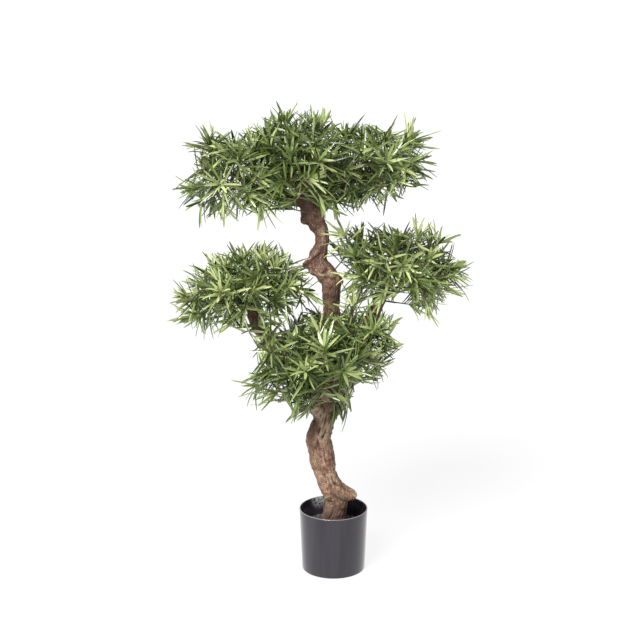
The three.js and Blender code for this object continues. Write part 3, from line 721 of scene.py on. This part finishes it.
def add_node(material, kind, inputs, **settings):
    """A shader node with its settings. Inputs that are sockets are linked, and values are set."""
    tree = material.node_tree
    node = tree.nodes.new("ShaderNode" + kind)
    for name, value in settings.items():
        setattr(node, name, value)
    for name, value in inputs.items():
        if isinstance(value, bpy.types.NodeSocket):
            tree.links.new(value, node.inputs[name])
        else:
            node.inputs[name].default_value = value
    return node


def scaled(material, vector, scale):
    return add_node(material, "Mapping", {"Vector": vector, "Scale": scale}).outputs["Vector"]


def place_in(material, scale=(1, 1, 1)):
    """The object's own coordinates, in metres, scaled."""
    return scaled(material, add_node(material, "TexCoord", {}).outputs["Object"], scale)


def attribute_of(material, name, output="Fac"):
    return add_node(material, "Attribute", {}, attribute_name=name).outputs[output]


def noise_in(material, vector, scale, detail=2.0):
    inputs = {"Vector": vector, "Scale": scale, "Detail": detail}
    return add_node(material, "TexNoise", inputs).outputs["Fac"]


def between(material, value, low, high, to_low=0.0, to_high=1.0):
    """The value, read from one range into another and held inside it."""
    inputs = {"Value": value, "From Min": low, "From Max": high, "To Min": to_low, "To Max": to_high}
    return add_node(material, "MapRange", inputs).outputs["Result"]


# Where a Mix node has its two inputs and its output, by the kind of its values.
MIX_SOCKETS = {"FLOAT": (2, 3, 0), "RGBA": (6, 7, 2)}


def opaque(colour):
    """A plain colour with its alpha. A socket stays as it is."""
    return (*colour, 1.0) if isinstance(colour, tuple) else colour


def blended(material, factor, first, second, kind="RGBA"):
    """One colour or number or the other, by a factor from 0 to 1."""
    one, other, result = MIX_SOCKETS[kind]
    inputs = {0: factor, one: opaque(first), other: opaque(second)}
    return add_node(material, "Mix", inputs, data_type=kind).outputs[result]


def mottled(material, value, span, first, second):
    """One colour or the other, by where a value lies in a span."""
    return blended(material, between(material, value, *span), first, second)


def finished(material, colour, roughness, height, depth):
    """Links what varies over the surface to the shader. `depth` is the bump's height in millimetres."""
    bump = add_node(material, "Bump", {"Height": height, "Strength": 1.0, "Distance": depth * MM})
    varied = {"Base Color": colour, "Roughness": roughness, "Normal": bump.outputs["Normal"]}
    for name, output in varied.items():
        if output is not None:
            material.node_tree.links.new(output, material.node_tree.nodes["Principled BSDF"].inputs[name])
    return material


BARK_COLOURS = {
    "smooth": (0.196, 0.102, 0.063),
    "fibre": (0.278, 0.188, 0.112),
    "red": (0.062, 0.022, 0.015),
    "red_light": (0.160, 0.068, 0.046),
    "streak": (0.270, 0.172, 0.120),
    # The dark of the darker wood, and painted shade in the shaded places.
    "shade": (0.050, 0.026, 0.018),
    "brown": (0.094, 0.038, 0.022),
    "pale": (0.540, 0.440, 0.310),
    # Painted shade for the deepest hollows and furrows.
    "crevice_shade": (0.052, 0.022, 0.014),
}
# Heights in metres between which the wood turns from pinkish tan to red-brown.
RED_WOOD = (0.68, 0.76)
# The colours below and above, each with the span of the fibres' noise in which one turns into the other.
BARK_BASES = (((0.42, 0.66), "smooth", "fibre"), ((0.42, 0.60), "red", "red_light"))
# The same for the streaks on the upper wood, and how far they come.
STREAK_SPAN = (0.56, 0.62, 0.0, 0.85)
# Noises over the bark, as cells to a metre, and along a limb, as cells to a millimetre. Each has its detail.
BARK_NOISES = {"blotches": (38.0, 3.0), "specks": (420.0, 2.0)}
LIMB_NOISES = {
    "fibres": ((0.42, 0.42, 0.05), 3.0),
    "streaks": ((0.46, 0.46, 0.06), 2.0),
    "grain": ((1.1, 1.1, 0.12), 4.0),
}
# Coats over the bark, in order: what each follows, the span in which it comes, how far, and its colour.
BARK_COATS = [
    ("blotches", (0.50, 0.66), 0.75, "brown"),
    ("tone", (0.0, 1.0), 0.9, "pale"),
    ("specks", (0.52, 0.63), 0.75, "brown"),
    ("specks", (0.45, 0.35), 0.45, "pale"),
    # Partly painted shade: below 0 the tones darken shaded places as well as the darker wood.
    ("tone", (0.0, -1.0), 0.85, "shade"),
    # Painted shade: these two coats darken the low places of the relief and the furrows.
    ("cavity_shade", (0.58, 0.24), 0.8, "brown"),
    ("cavity_shade", (0.22, 0.0), 1.0, "crevice_shade"),
]
# How rough the blotches leave the bark, and the height of its grain in millimetres.
BARK_FINISH = {"roughness": 0.75, "varied": (0.35, 0.65, 0.62, 0.9), "bump": 1.1}


def bark_material():
    """Moulded bark: tan and pinkish below, red-brown above, with pale fibres, and painted shade in its
    hollows, its furrows and its shaded places.
    """
    tints = BARK_COLOURS
    bark = new_material("bark", tints["smooth"], BARK_FINISH["roughness"])
    place = place_in(bark)
    height = add_node(bark, "SeparateXYZ", {"Vector": place}).outputs["Z"]
    limb_space = attribute_of(bark, "limb_space", "Vector")
    seen = {name: attribute_of(bark, name) for name in ("tone", "cavity_shade")}
    for name, (scale, detail) in BARK_NOISES.items():
        seen[name] = noise_in(bark, place, scale, detail)
    for name, (scale, detail) in LIMB_NOISES.items():
        seen[name] = noise_in(bark, scaled(bark, limb_space, scale), 1.0, detail)
    low, high = (mottled(bark, seen["fibres"], span, tints[a], tints[b]) for span, a, b in BARK_BASES)
    high = mottled(bark, seen["streaks"], STREAK_SPAN, high, tints["streak"])
    zone = between(bark, height, *RED_WOOD)
    colour = blended(bark, zone, low, high)
    for name, span, most, tint in BARK_COATS:
        colour = mottled(bark, seen[name], (*span, 0.0, most), colour, tints[tint])
    rough = between(bark, seen["blotches"], *BARK_FINISH["varied"])
    grained = blended(bark, zone, seen["specks"], seen["grain"], "FLOAT")
    return finished(bark, colour, rough, grained, BARK_FINISH["bump"])


# Surfaces in two colours that a noise mixes, with a finer grain. A noise is its cells to a metre and its
# detail.
SURFACES = {
    "twig": {
        "plain": ((0.06, 0.07, 0.03), 0.6),
        "mottle": (90.0, 2.0),
        "span": (0.4, 0.6),
        "colours": ((0.140, 0.095, 0.050), (0.120, 0.150, 0.055)),
        "roughness": (0.3, 0.7, 0.5, 0.7),
        "grain": (90.0, 2.0),
        "bump": 0.3,
    },
    "fill": {
        "plain": ((0.030, 0.026, 0.022), 0.95),
        "mottle": (160.0, 4.0),
        "span": (0.4, 0.65),
        "colours": ((0.016, 0.013, 0.011), (0.058, 0.046, 0.036)),
        "grain": (620.0, 1.0),
        "specks": ((0.62, 0.68), (0.20, 0.19, 0.18)),
        "bump": 0.8,
    },
    "grit": {
        "plain": ((0.12, 0.11, 0.10), 0.85),
        "mottle": (130.0, 1.0),
        "span": (0.38, 0.62),
        "colours": ((0.030, 0.026, 0.023), (0.210, 0.200, 0.190)),
        "grain": (1500.0, 2.0),
        "bump": 0.3,
    },
}


def surface_material(name):
    """One of the mottled surfaces, with specks where its grain is strongest if it has them."""
    look = SURFACES[name]
    made = new_material(name, *look["plain"])
    mottle = noise_in(made, place_in(made), *look["mottle"])
    grain = noise_in(made, place_in(made), *look["grain"])
    colour = mottled(made, mottle, look["span"], *look["colours"])
    if "specks" in look:
        span, speck_colour = look["specks"]
        colour = mottled(made, grain, span, colour, speck_colour)
    rough = between(made, mottle, *look["roughness"]) if "roughness" in look else None
    return finished(made, colour, rough, grain, look["bump"])


# Heights in metres between which a painted highlight runs round the pot's lip, how far it comes, and its
# colour.
POT_LIP_HIGHLIGHT = ((0.1483, 0.1496, 0.0, 0.8), (0.240, 0.235, 0.240))
# Where a painted reflection lies on the inside of the wall, in metres, how far it spreads and how patchy it
# is.
POT_PAINTED_REFLECTION = {
    "place": (-0.033, 0.071, 0.146),
    "spread": (0.028, 0.008),
    "inside": (0.0782, 0.0779),
    "patches": (190.0, 3.0),
    "span": (0.36, 0.60),
    "colour": (0.330, 0.345, 0.320),
}
POT_PLASTIC = {
    "colour": (0.014, 0.013, 0.015),
    "gloss": {"Specular_IOR_Level": 0.3, "Coat_Weight": 0.9, "Coat_Roughness": 0.16, "Coat_IOR": 1.40},
    "flow": (46.0, 3.0),
    "flow_scale": (1, 1, 0.08),
    "flow_colours": ((0.35, 0.65), (0.013, 0.010, 0.015), (0.021, 0.017, 0.025)),
    "roughness": 0.3,
    "flow_roughness": (0.3, 0.7, 0.20, 0.30),
    "grain": (900.0, 2.0),
    "bump": 0.04,
}


def painted_reflection_on(pot):
    """How much of the painted reflection lies on each place of the pot, from 0 to 1."""
    place = place_in(pot)
    away = add_node(pot, "VectorMath", {0: place, 1: POT_PAINTED_REFLECTION["place"]}, operation="DISTANCE")
    flat = add_node(pot, "VectorMath", {0: place_in(pot, (1, 1, 0))}, operation="LENGTH")
    reflection_share = between(pot, away.outputs["Value"], *POT_PAINTED_REFLECTION["spread"])
    patchy = between(pot, noise_in(pot, place, *POT_PAINTED_REFLECTION["patches"]), *POT_PAINTED_REFLECTION["span"])
    for mask in (patchy, between(pot, flat.outputs["Value"], *POT_PAINTED_REFLECTION["inside"])):
        reflection_share = add_node(pot, "Math", {0: reflection_share, 1: mask}, operation="MULTIPLY").outputs[0]
    return reflection_share


def pot_material():
    """Charcoal moulded plastic with a soft sheen, faint lines of flow up its wall, a painted highlight round
    its lip and a painted reflection inside.
    """
    look = POT_PLASTIC
    pot = new_material("pot_plastic", look["colour"], look["roughness"], **look["gloss"])
    flow = noise_in(pot, place_in(pot, look["flow_scale"]), *look["flow"])
    grain = noise_in(pot, place_in(pot), *look["grain"])
    height = add_node(pot, "SeparateXYZ", {"Vector": place_in(pot)}).outputs["Z"]
    colour = mottled(pot, flow, *look["flow_colours"])
    # Painted reflection: a pale patch on the inside of the wall near the top at the back.
    colour = blended(pot, painted_reflection_on(pot), colour, POT_PAINTED_REFLECTION["colour"])
    # Painted highlight: a pale line round the top of the lip.
    highlight_span, highlight_colour = POT_LIP_HIGHLIGHT
    colour = mottled(pot, height, highlight_span, colour, highlight_colour)
    return finished(pot, colour, between(pot, flow, *look["flow_roughness"]), grain, look["bump"])


def leaf_materials():
    return [new_material("leaf_" + name, colour, **LEAF_GLOSS) for name, colour in TINTS.items()]


# ---------------------------------------------------------------- wood


def bark_section(turns, ring):
    """How far a limb's skin stands out at each turn: shallow lobes that twist slowly up it."""
    span = ring / WOOD["rings_per_span"]
    return 1 + sum(depth * np.cos(n * turns + twist * span + start) for n, depth, twist, start in LOBES)


def smooth_path(path):
    return smooth_stations(path, WOOD["rings_per_span"])


def limb_part(stations):
    return tube(smooth_path(stations), WOOD["sides"], bark_section)


def remeshed(made):
    """Turns overlapping closed tubes into one skin."""
    modifier = made.modifiers.new("skin", "REMESH")
    modifier.mode = "VOXEL"
    modifier.voxel_size = WOOD["voxel"] * MM
    bpy.context.view_layer.update()
    evaluated = made.evaluated_get(bpy.context.evaluated_depsgraph_get())
    mesh = bpy.data.meshes.new_from_object(evaluated)
    made.modifiers.clear()
    made.data = mesh
    return made


def wood_frame(points):
    """For each point: the limb station nearest to its bark, the way round that limb and the way along it."""
    stations, along, travelled = [], [], []
    for found in LIMB_STATIONS.values():
        steps = np.gradient(found[:, :3], axis=0)
        stations.append(found)
        along.append(steps / np.linalg.norm(steps, axis=1)[:, None])
        lengths = np.linalg.norm(np.diff(found[:, :3], axis=0), axis=1)
        travelled.append(np.concatenate([[0], np.cumsum(lengths)]))
    stations, along, travelled = np.vstack(stations), np.vstack(along), np.concatenate(travelled)
    nearest = np.empty(len(points), int)
    for start in range(0, len(points), WOOD["block"]):
        block = slice(start, start + WOOD["block"])
        gaps = np.linalg.norm(points[block, None] - stations[None, :, :3], axis=2) - stations[None, :, 3]
        nearest[block] = gaps.argmin(axis=1)
    offset = points - stations[nearest, :3]
    rise = np.sum(offset * along[nearest], axis=1)
    outward = offset - along[nearest] * rise[:, None]
    return outward, travelled[nearest] + rise


def noise_at(places):
    """Smooth noise from about -1 to 1 at each row."""
    return np.array([noise.noise(Vector(place)) for place in places])


def distance_to_path(points, path):
    """The distance from each point to a polyline."""
    path = np.array(path, float)
    gaps = np.full(len(points), np.inf)
    for start, end in zip(path[:-1], path[1:]):
        span = end - start
        share = np.clip((points - start) @ span / (span @ span), 0, 1)
        gaps = np.minimum(gaps, np.linalg.norm(points - start - share[:, None] * span, axis=1))
    return gaps


def furrows_at(points):
    """How deep each point lies in the furrows, in millimetres, and how much painted shade that gives it."""
    uneven = 1 + FURROW_EDGES["amount"] * noise_at(points / FURROW_EDGES["length"])
    depths, shades = np.zeros(len(points)), np.zeros(len(points))
    for width, depth, painted_shade, path in FURROWS:
        gaps = distance_to_path(points, smooth_path(path)) * uneven
        depth_here = depth * np.exp(-((gaps / width) ** 2))
        depths = np.maximum(depths, depth_here)
        shades = np.maximum(shades, depth_here * painted_shade)
    return depths, shades


def tones_at(points):
    """How much darker (below 0) or lighter each point is than the wood round it. The darker places are
    partly painted shade.
    """
    tones = np.zeros(len(points))
    for place, radius, amount in WOOD_TONES_AND_SHADE:
        gaps = np.linalg.norm(points - point(place), axis=1)
        tones += amount * np.exp(-((gaps / radius) ** 2))
    return np.clip(tones, -1, 1)


def relief(points, outward, travelled):
    """The height of the bark over the skin, in millimetres, and from 0 to 1 how proud its grain is, by which
    its hollows get painted shade.
    """
    fibres, crust, patches, grains = BARK["fibres"], BARK["crust"], BARK["crust_patches"], BARK["grains"]
    stretched = np.column_stack([outward[:, :2] / fibres["across"], travelled / fibres["along"]])
    strands = 0.5 - 2 * np.abs(noise_at(stretched))
    knobs = noise_at(np.column_stack([outward[:, :2] / crust["across"], travelled / crust["along"]]))
    crusty = (noise_at(points / patches["length"]) - patches["low"]) / (patches["high"] - patches["low"])
    crusty = np.clip(crusty, 0, 1)
    fibrous = fibres["height"] * strands * (1 - fibres["under_crust"] * crusty)
    fine_height = fibrous + crust["height"] * knobs * crusty
    height = fine_height + grains["height"] * noise_at(points / grains["length"])
    for form in (BARK["lumps"], BARK["bumps"]):
        height += form["height"] * noise_at(points / form["length"])
    cavity_shade = np.clip(0.5 + 0.5 * fine_height / fibres["height"], 0, 1)
    return height, cavity_shade


def point_attribute(mesh, name, kind, values):
    layer = mesh.attributes.new(name, kind, "POINT")
    layer.data.foreach_set("vector" if kind == "FLOAT_VECTOR" else "value", np.ravel(values))


def cut_flat(mesh, height):
    """Cuts a closed mesh flat at a height, and closes it there."""
    made = bmesh.new()
    made.from_mesh(mesh)
    everything = made.verts[:] + made.edges[:] + made.faces[:]
    plane = {"plane_co": (0, 0, height * MM), "plane_no": (0, 0, 1)}
    cut = bmesh.ops.bisect_plane(made, geom=everything, clear_inner=True, **plane)
    rim = [item for item in cut["geom_cut"] if isinstance(item, bmesh.types.BMEdge)]
    bmesh.ops.holes_fill(made, edges=rim)
    made.to_mesh(mesh)
    made.free()


def build_wood(material):
    stubs = [*TRUNK_STUBS.values(), *STRANDS]
    points, faces = joined([limb_part(stations) for stations in [TRUNK, *stubs, *BOUGHS.values()]])
    wood = remeshed(mesh_object("wood", points, faces, []))
    mesh = wood.data
    count = len(mesh.vertices)
    places = np.empty(count * 3)
    mesh.vertices.foreach_get("co", places)
    places = places.reshape(-1, 3) / MM
    normals = np.empty(count * 3)
    mesh.vertex_normals.foreach_get("vector", normals)
    outward, travelled = wood_frame(places)
    height, cavity_shade = relief(places, outward, travelled)
    furrows, shades = furrows_at(places)
    tones = tones_at(places)
    places = places + normals.reshape(-1, 3) * (height - furrows)[:, None]
    mesh.vertices.foreach_set("co", (places * MM).ravel())
    # Painted shade: the bark darkens in the hollows of its relief and in the furrows.
    point_attribute(mesh, "cavity_shade", "FLOAT", np.clip(cavity_shade - shades / WOOD["fully_shaded_furrow"], 0, 1))
    # Partly painted shade: the tones below 0 darken the shaded places of the wood.
    point_attribute(mesh, "tone", "FLOAT", tones)
    point_attribute(mesh, "limb_space", "FLOAT_VECTOR", np.column_stack([outward[:, :2], travelled]))
    cut_flat(mesh, GROUND + WOOD["seat"])
    mesh.materials.clear()
    mesh.materials.append(material)
    mesh.shade_smooth()
    mesh.update()
    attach(wood, BODY)
    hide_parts("trunk", *BOUGHS)


# ---------------------------------------------------------------- foliage


def leaves_of_spray(twig, pad_name, rng, kind):
    """The places of one spray's leaves, in a spiral up its shoot."""
    spin = rng.uniform(0, 2 * math.pi)
    leaves = []
    turn_index = 0
    for whorl, tints in ((OUTER, kind["outer"]), (INNER, kind["inner"])):
        for k in range(whorl["count"]):
            share = k / (whorl["count"] - 1)
            turn = spin + turn_index * GOLDEN_ANGLE + rng.uniform(-BLADE["turn_slack"], BLADE["turn_slack"])
            turn_index += 1
            degrees = mix(*whorl["leans"], share) + rng.uniform(-BLADE["lean_slack"], BLADE["lean_slack"])
            along = turned_from(twig["axis"], degrees, turn)
            face = turned_from(twig["axis"], degrees - 90, turn)
            root = twig["foot"] + twig["axis"] * twig["shoot"] * mix(*whorl["along"], share)
            length = rng.uniform(*whorl["lengths"])
            form = {
                "width": rng.uniform(*whorl["widths"]),
                "tint": list(TINTS).index(tints[rng.integers(len(tints))]),
                "arch": rng.uniform(*BLADE["arch"]),
                "droop": rng.uniform(*BLADE["droop"]),
                "roll": math.radians(rng.uniform(-BLADE["roll"], BLADE["roll"])),
            }
            tip = root + along * length
            middle = root + along * length / 2
            beyond = not twig.get("free") and share_of_reach(tip, pad_name) > BLADE["reach"]
            hiding = in_opening([mix(root, tip, share) for share in BLADE["tested"]])
            touching = near_limb(tip, BLADE["bark_gap"]) or near_limb(middle, BLADE["bark_gap"])
            if not (beyond or hiding or touching):
                leaves.append({"root": root, "along": along, "face": face, "length": length, **form})
    return leaves


def blade_part(leaf):
    """The points of a folded blade, closed and pointed, from its leaf's place."""
    along, face = leaf["along"], leaf["face"]
    across = np.cross(along, face)
    roll = leaf["roll"]
    face = face * math.cos(roll) + across * math.sin(roll)
    across = np.cross(along, face)
    shares = np.array(BLADE["shares"])[:, None]
    halves = np.array(BLADE["halves"])[:, None] * leaf["width"] / 2
    down = np.array([0.0, 0.0, -1.0])

    def line(share):
        bowed = face * leaf["arch"] * 4 * share * (1 - share)
        return leaf["root"] + leaf["length"] * (along * share + bowed + down * leaf["droop"] * share**2)

    rib = line(shares)
    edge = face * halves * BLADE["fold"]
    left, right = rib - across * halves + edge, rib + across * halves + edge
    rails = np.stack([left, rib, right, rib - face * BLADE["thickness"]], 1)
    return np.vstack([rails.reshape(-1, 3), line(np.array([[1.0]]))])


RAILS = 4  # points round a blade
RINGS = len(BLADE["shares"])


def blade_faces():
    """The faces of one blade, with every side facing out."""
    faces = [(0, 1, 2, 3)]
    for ring in range(RINGS - 1):
        for k in range(RAILS):
            a, b = ring * RAILS + k, ring * RAILS + (k + 1) % RAILS
            faces.append((a, a + RAILS, b + RAILS, b))
    last, tip = (RINGS - 1) * RAILS, RINGS * RAILS
    faces += [(last + k, tip, last + (k + 1) % RAILS) for k in range(RAILS)]
    return faces


BLADE_FACES = blade_faces()


def build_leaves(name, leaves, materials):
    """All leaves of one mass as one mesh, each in its own tint."""
    points, faces = joined([(blade_part(leaf), BLADE_FACES) for leaf in leaves])
    slots = np.repeat([leaf["tint"] for leaf in leaves], len(BLADE_FACES))
    return mesh_object("leaves_" + name, points, faces, materials, slots, smooth_degrees=20)


def build_twigs(name, stem, twigs, material):
    """The stem, the twigs and the shoots of one mass as one mesh."""
    look = TWIG_LOOK
    parts = [tube(np.column_stack([np.array(stem), [look["stem"], look["fork"]]]), look["sides"])]
    radii = [look["fork"], look["foot"], look["tip"]]
    for twig in twigs:
        path = [twig["start"], twig["foot"], twig["foot"] + twig["axis"] * twig["shoot"]]
        stations = smooth_stations(np.column_stack([path, radii]), look["spans"])
        parts.append(tube(stations, look["sides"]))
    points, faces = joined(parts)
    return mesh_object("twigs_" + name, points, faces, [material])


def spray_kind(twig, pad_name, rng):
    """The kind of a spray: new growth near the places that have it, and otherwise by chance."""
    gaps = np.linalg.norm(np.array(NEW_GROWTH["spots"]) - shoot_middle(twig), axis=1)
    drawn = SPRAY_KINDS[rng.choice(len(SPRAY_KINDS), p=KIND_SHARES[pad_name])]
    return NEW_GROWTH_KIND if gaps.min() < NEW_GROWTH["within"] else drawn


def build_foliage(material):
    tints = leaf_materials()
    stems, twigs_of = grown_masses()
    for name, (pad_name, _, _) in MASSES.items():
        leaves = []
        for twig in twigs_of[name]:
            rng = own_random(twig["foot"])
            leaves += leaves_of_spray(twig, pad_name, rng, spray_kind(twig, pad_name, rng))
        made = build_leaves(name, leaves, tints)
        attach(made, BODY)
        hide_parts(name)
        made = build_twigs(name, stems[name], twigs_of[name], material)
        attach(made, BODY)


# ---------------------------------------------------------------- pot and soil


def pot_radius(height):
    """The radius of the pot's outer face at a height."""
    return mix(POT["base_radius"], POT["rim_radius"], height / POT["height"])


def quarter(centre, radius, start):
    """(radius, height) points on a quarter circle, anticlockwise from `start` degrees."""
    turns = np.radians(np.linspace(start, start + 90, LATHE["corner_steps"]))
    return [(centre[0] + radius * math.cos(a), centre[1] + radius * math.sin(a)) for a in turns]


def pot_profile():
    """(radius, height) from the middle of the underside round the lip to the middle of the floor inside."""
    height, wall, floor, corner = POT["height"], POT["wall"], POT["floor"], POT["corner"]
    lip, steps = wall / 2, LATHE["wall_steps"]
    outside = [(pot_radius(z), z) for z in np.linspace(corner, height - lip, steps)[1:-1]]
    inside = [(pot_radius(z) - wall, z) for z in np.linspace(height - lip, floor + corner, steps)[1:]]
    return (
        [(LATHE["axis"], 0), (pot_radius(0) / 2, 0)]
        + quarter((pot_radius(corner) - corner, corner), corner, -90)
        + outside
        + quarter((pot_radius(height) - lip, height - lip), lip, 0)
        + quarter((pot_radius(height) - lip, height - lip), lip, 90)[1:]
        + inside
        + [(pot_radius(floor) - wall - corner, floor), (LATHE["axis"], floor)]
    )


def lathe(profile):
    """Points and faces of a profile of (radius, height) turned round Z."""
    segments = LATHE["segments"]
    turns = 2 * math.pi * np.arange(segments) / segments
    points = [
        np.column_stack([radius * np.cos(turns), radius * np.sin(turns), np.full(segments, height)])
        for radius, height in profile
    ]
    return np.vstack(points), ring_faces(len(profile), segments)


def build_pot(material):
    points, faces = lathe(pot_profile())
    pot = mesh_object("pot_shell", points, faces, [material])
    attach(pot, BODY)
    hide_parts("pot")


def fill_height(x, y):
    """The height of the filling: level in the middle, sagging towards the wall, with fine lumps."""
    outer = pot_radius(GROUND) - POT["wall"]
    share = np.clip((math.hypot(x, y) - SOIL["seat_radius"]) / (outer - SOIL["seat_radius"]), 0, 1)
    lumps = sum(size * noise.noise(Vector((x, y, 0)) / length) for size, length in FILL["lumps"])
    return GROUND - SOIL["sag"] * share + lumps * mix(FILL["least_lump"], 1, share)


def build_fill(material):
    floor, wall, corner = POT["floor"], POT["wall"], POT["corner"]
    gap = FILL["wall_gap"]
    outer = pot_radius(GROUND - SOIL["sag"]) - wall - gap
    underside = [
        (LATHE["axis"], floor + gap),
        (pot_radius(floor) - wall - corner - gap, floor + gap),
        (pot_radius(floor + corner) - wall - gap, floor + corner),
    ]
    surface = [(radius, GROUND) for radius in np.linspace(outer, LATHE["axis"], FILL["rings"])]
    points, faces = lathe(underside + surface)
    for place in points[len(underside) * LATHE["segments"] :]:
        place[2] = fill_height(*place[:2])
    fill = mesh_object("fill_surface", points, faces, [material], smooth_degrees=70)
    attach(fill, BODY)
    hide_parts("soil")


def stone_part(rng, place, size):
    """A small stone: an uneven ball, flattened its own way."""
    ball = bmesh.new()
    bmesh.ops.create_icosphere(ball, subdivisions=1, radius=1.0)
    points = np.array([vert.co for vert in ball.verts])
    faces = [tuple(vert.index for vert in face.verts) for face in ball.faces]
    ball.free()
    points = points * rng.uniform(*STONE["uneven"], (len(points), 1)) * rng.uniform(*STONE["flattened"], 3)
    return points * size + place, faces


def build_grit(material):
    """Loose grit that lies on the filling round the trunk."""
    rng = np.random.default_rng(GRIT["seed"])
    outer = pot_radius(GROUND - SOIL["sag"]) - POT["wall"] - GRIT["wall_gap"]
    stones = []
    while len(stones) < GRIT["count"]:
        radius = outer * math.sqrt(rng.uniform(0, 1))
        turn = rng.uniform(0, 2 * math.pi)
        x, y = radius * math.cos(turn), radius * math.sin(turn)
        place = np.array([x, y, fill_height(x, y)])
        size = rng.uniform(*GRIT["sizes"]) / 2
        if not near_limb(place, GRIT["bark_gap"]):
            stones.append(stone_part(rng, place + np.array([0, 0, size * GRIT["rise"]]), size))
    points, faces = joined(stones)
    grit = mesh_object("grit", points, faces, [material], smooth_degrees=35)
    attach(grit, BODY)


# ---------------------------------------------------------------- stage


# A floor that glows a little, as a light table does, so that shadows on it stay faint.
STAGE = {"floor": (0.10, 0.10, 0.10), "glow": 0.875, "half_side": 40000.0, "sky": 0.52}
WHITE = (1, 1, 1, 1)


def build_stage():
    """A pale plain floor under a white sky."""
    white = new_material("floor_white", STAGE["floor"], 1.0, Specular_IOR_Level=0.0, Emission_Color=WHITE)
    white.node_tree.nodes["Principled BSDF"].inputs["Emission Strength"].default_value = STAGE["glow"]
    size = STAGE["half_side"]
    corners = [(-size, -size, 0), (size, -size, 0), (size, size, 0), (-size, size, 0)]
    floor = mesh_object("floor", corners, [(0, 1, 2, 3)], [white])
    floor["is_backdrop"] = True
    world = bpy.data.worlds.new("studio")
    world.use_nodes = True
    background = world.node_tree.nodes["Background"]
    background.inputs["Color"].default_value = WHITE
    background.inputs["Strength"].default_value = STAGE["sky"]
    bpy.context.scene.world = world
    bpy.context.scene.view_settings.view_transform = "Standard"


# A large soft lamp: its turn round the tree, its height and its width, all in degrees, and its strength.
KEY_LIGHT = {"azimuth": -28, "height": 43, "width": 26, "strength": 5.8}


def build_light():
    light = bpy.data.lights.new("key", "SUN")
    light.angle = math.radians(KEY_LIGHT["width"])
    light.energy = KEY_LIGHT["strength"]
    made = bpy.data.objects.new("key", light)
    made.rotation_euler = (math.radians(90 - KEY_LIGHT["height"]), 0, math.radians(KEY_LIGHT["azimuth"]))
    bpy.context.scene.collection.objects.link(made)


SENSOR = 36.0


def build_camera():
    camera = bpy.data.cameras.new("camera")
    camera.sensor_width = SENSOR
    camera.lens = SENSOR * CAMERA["focal_px"] / CAMERA["frame_px"]
    made = bpy.data.objects.new("camera", camera)
    made.location = Vector(CAMERA["place"]) * MM
    made.rotation_euler = (math.radians(90 - CAMERA["pitch"]), 0, 0)
    bpy.context.scene.collection.objects.link(made)
    bpy.context.scene.camera = made


build_camera()
build_light()
build_stage()
build_wood(bark_material())
build_foliage(surface_material("twig"))
build_pot(pot_material())
build_fill(surface_material("fill"))
build_grit(surface_material("grit"))

boxes = {"cad": cad_box, "visual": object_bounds()}
{name: [list(corner) for corner in box] for name, box in boxes.items()}
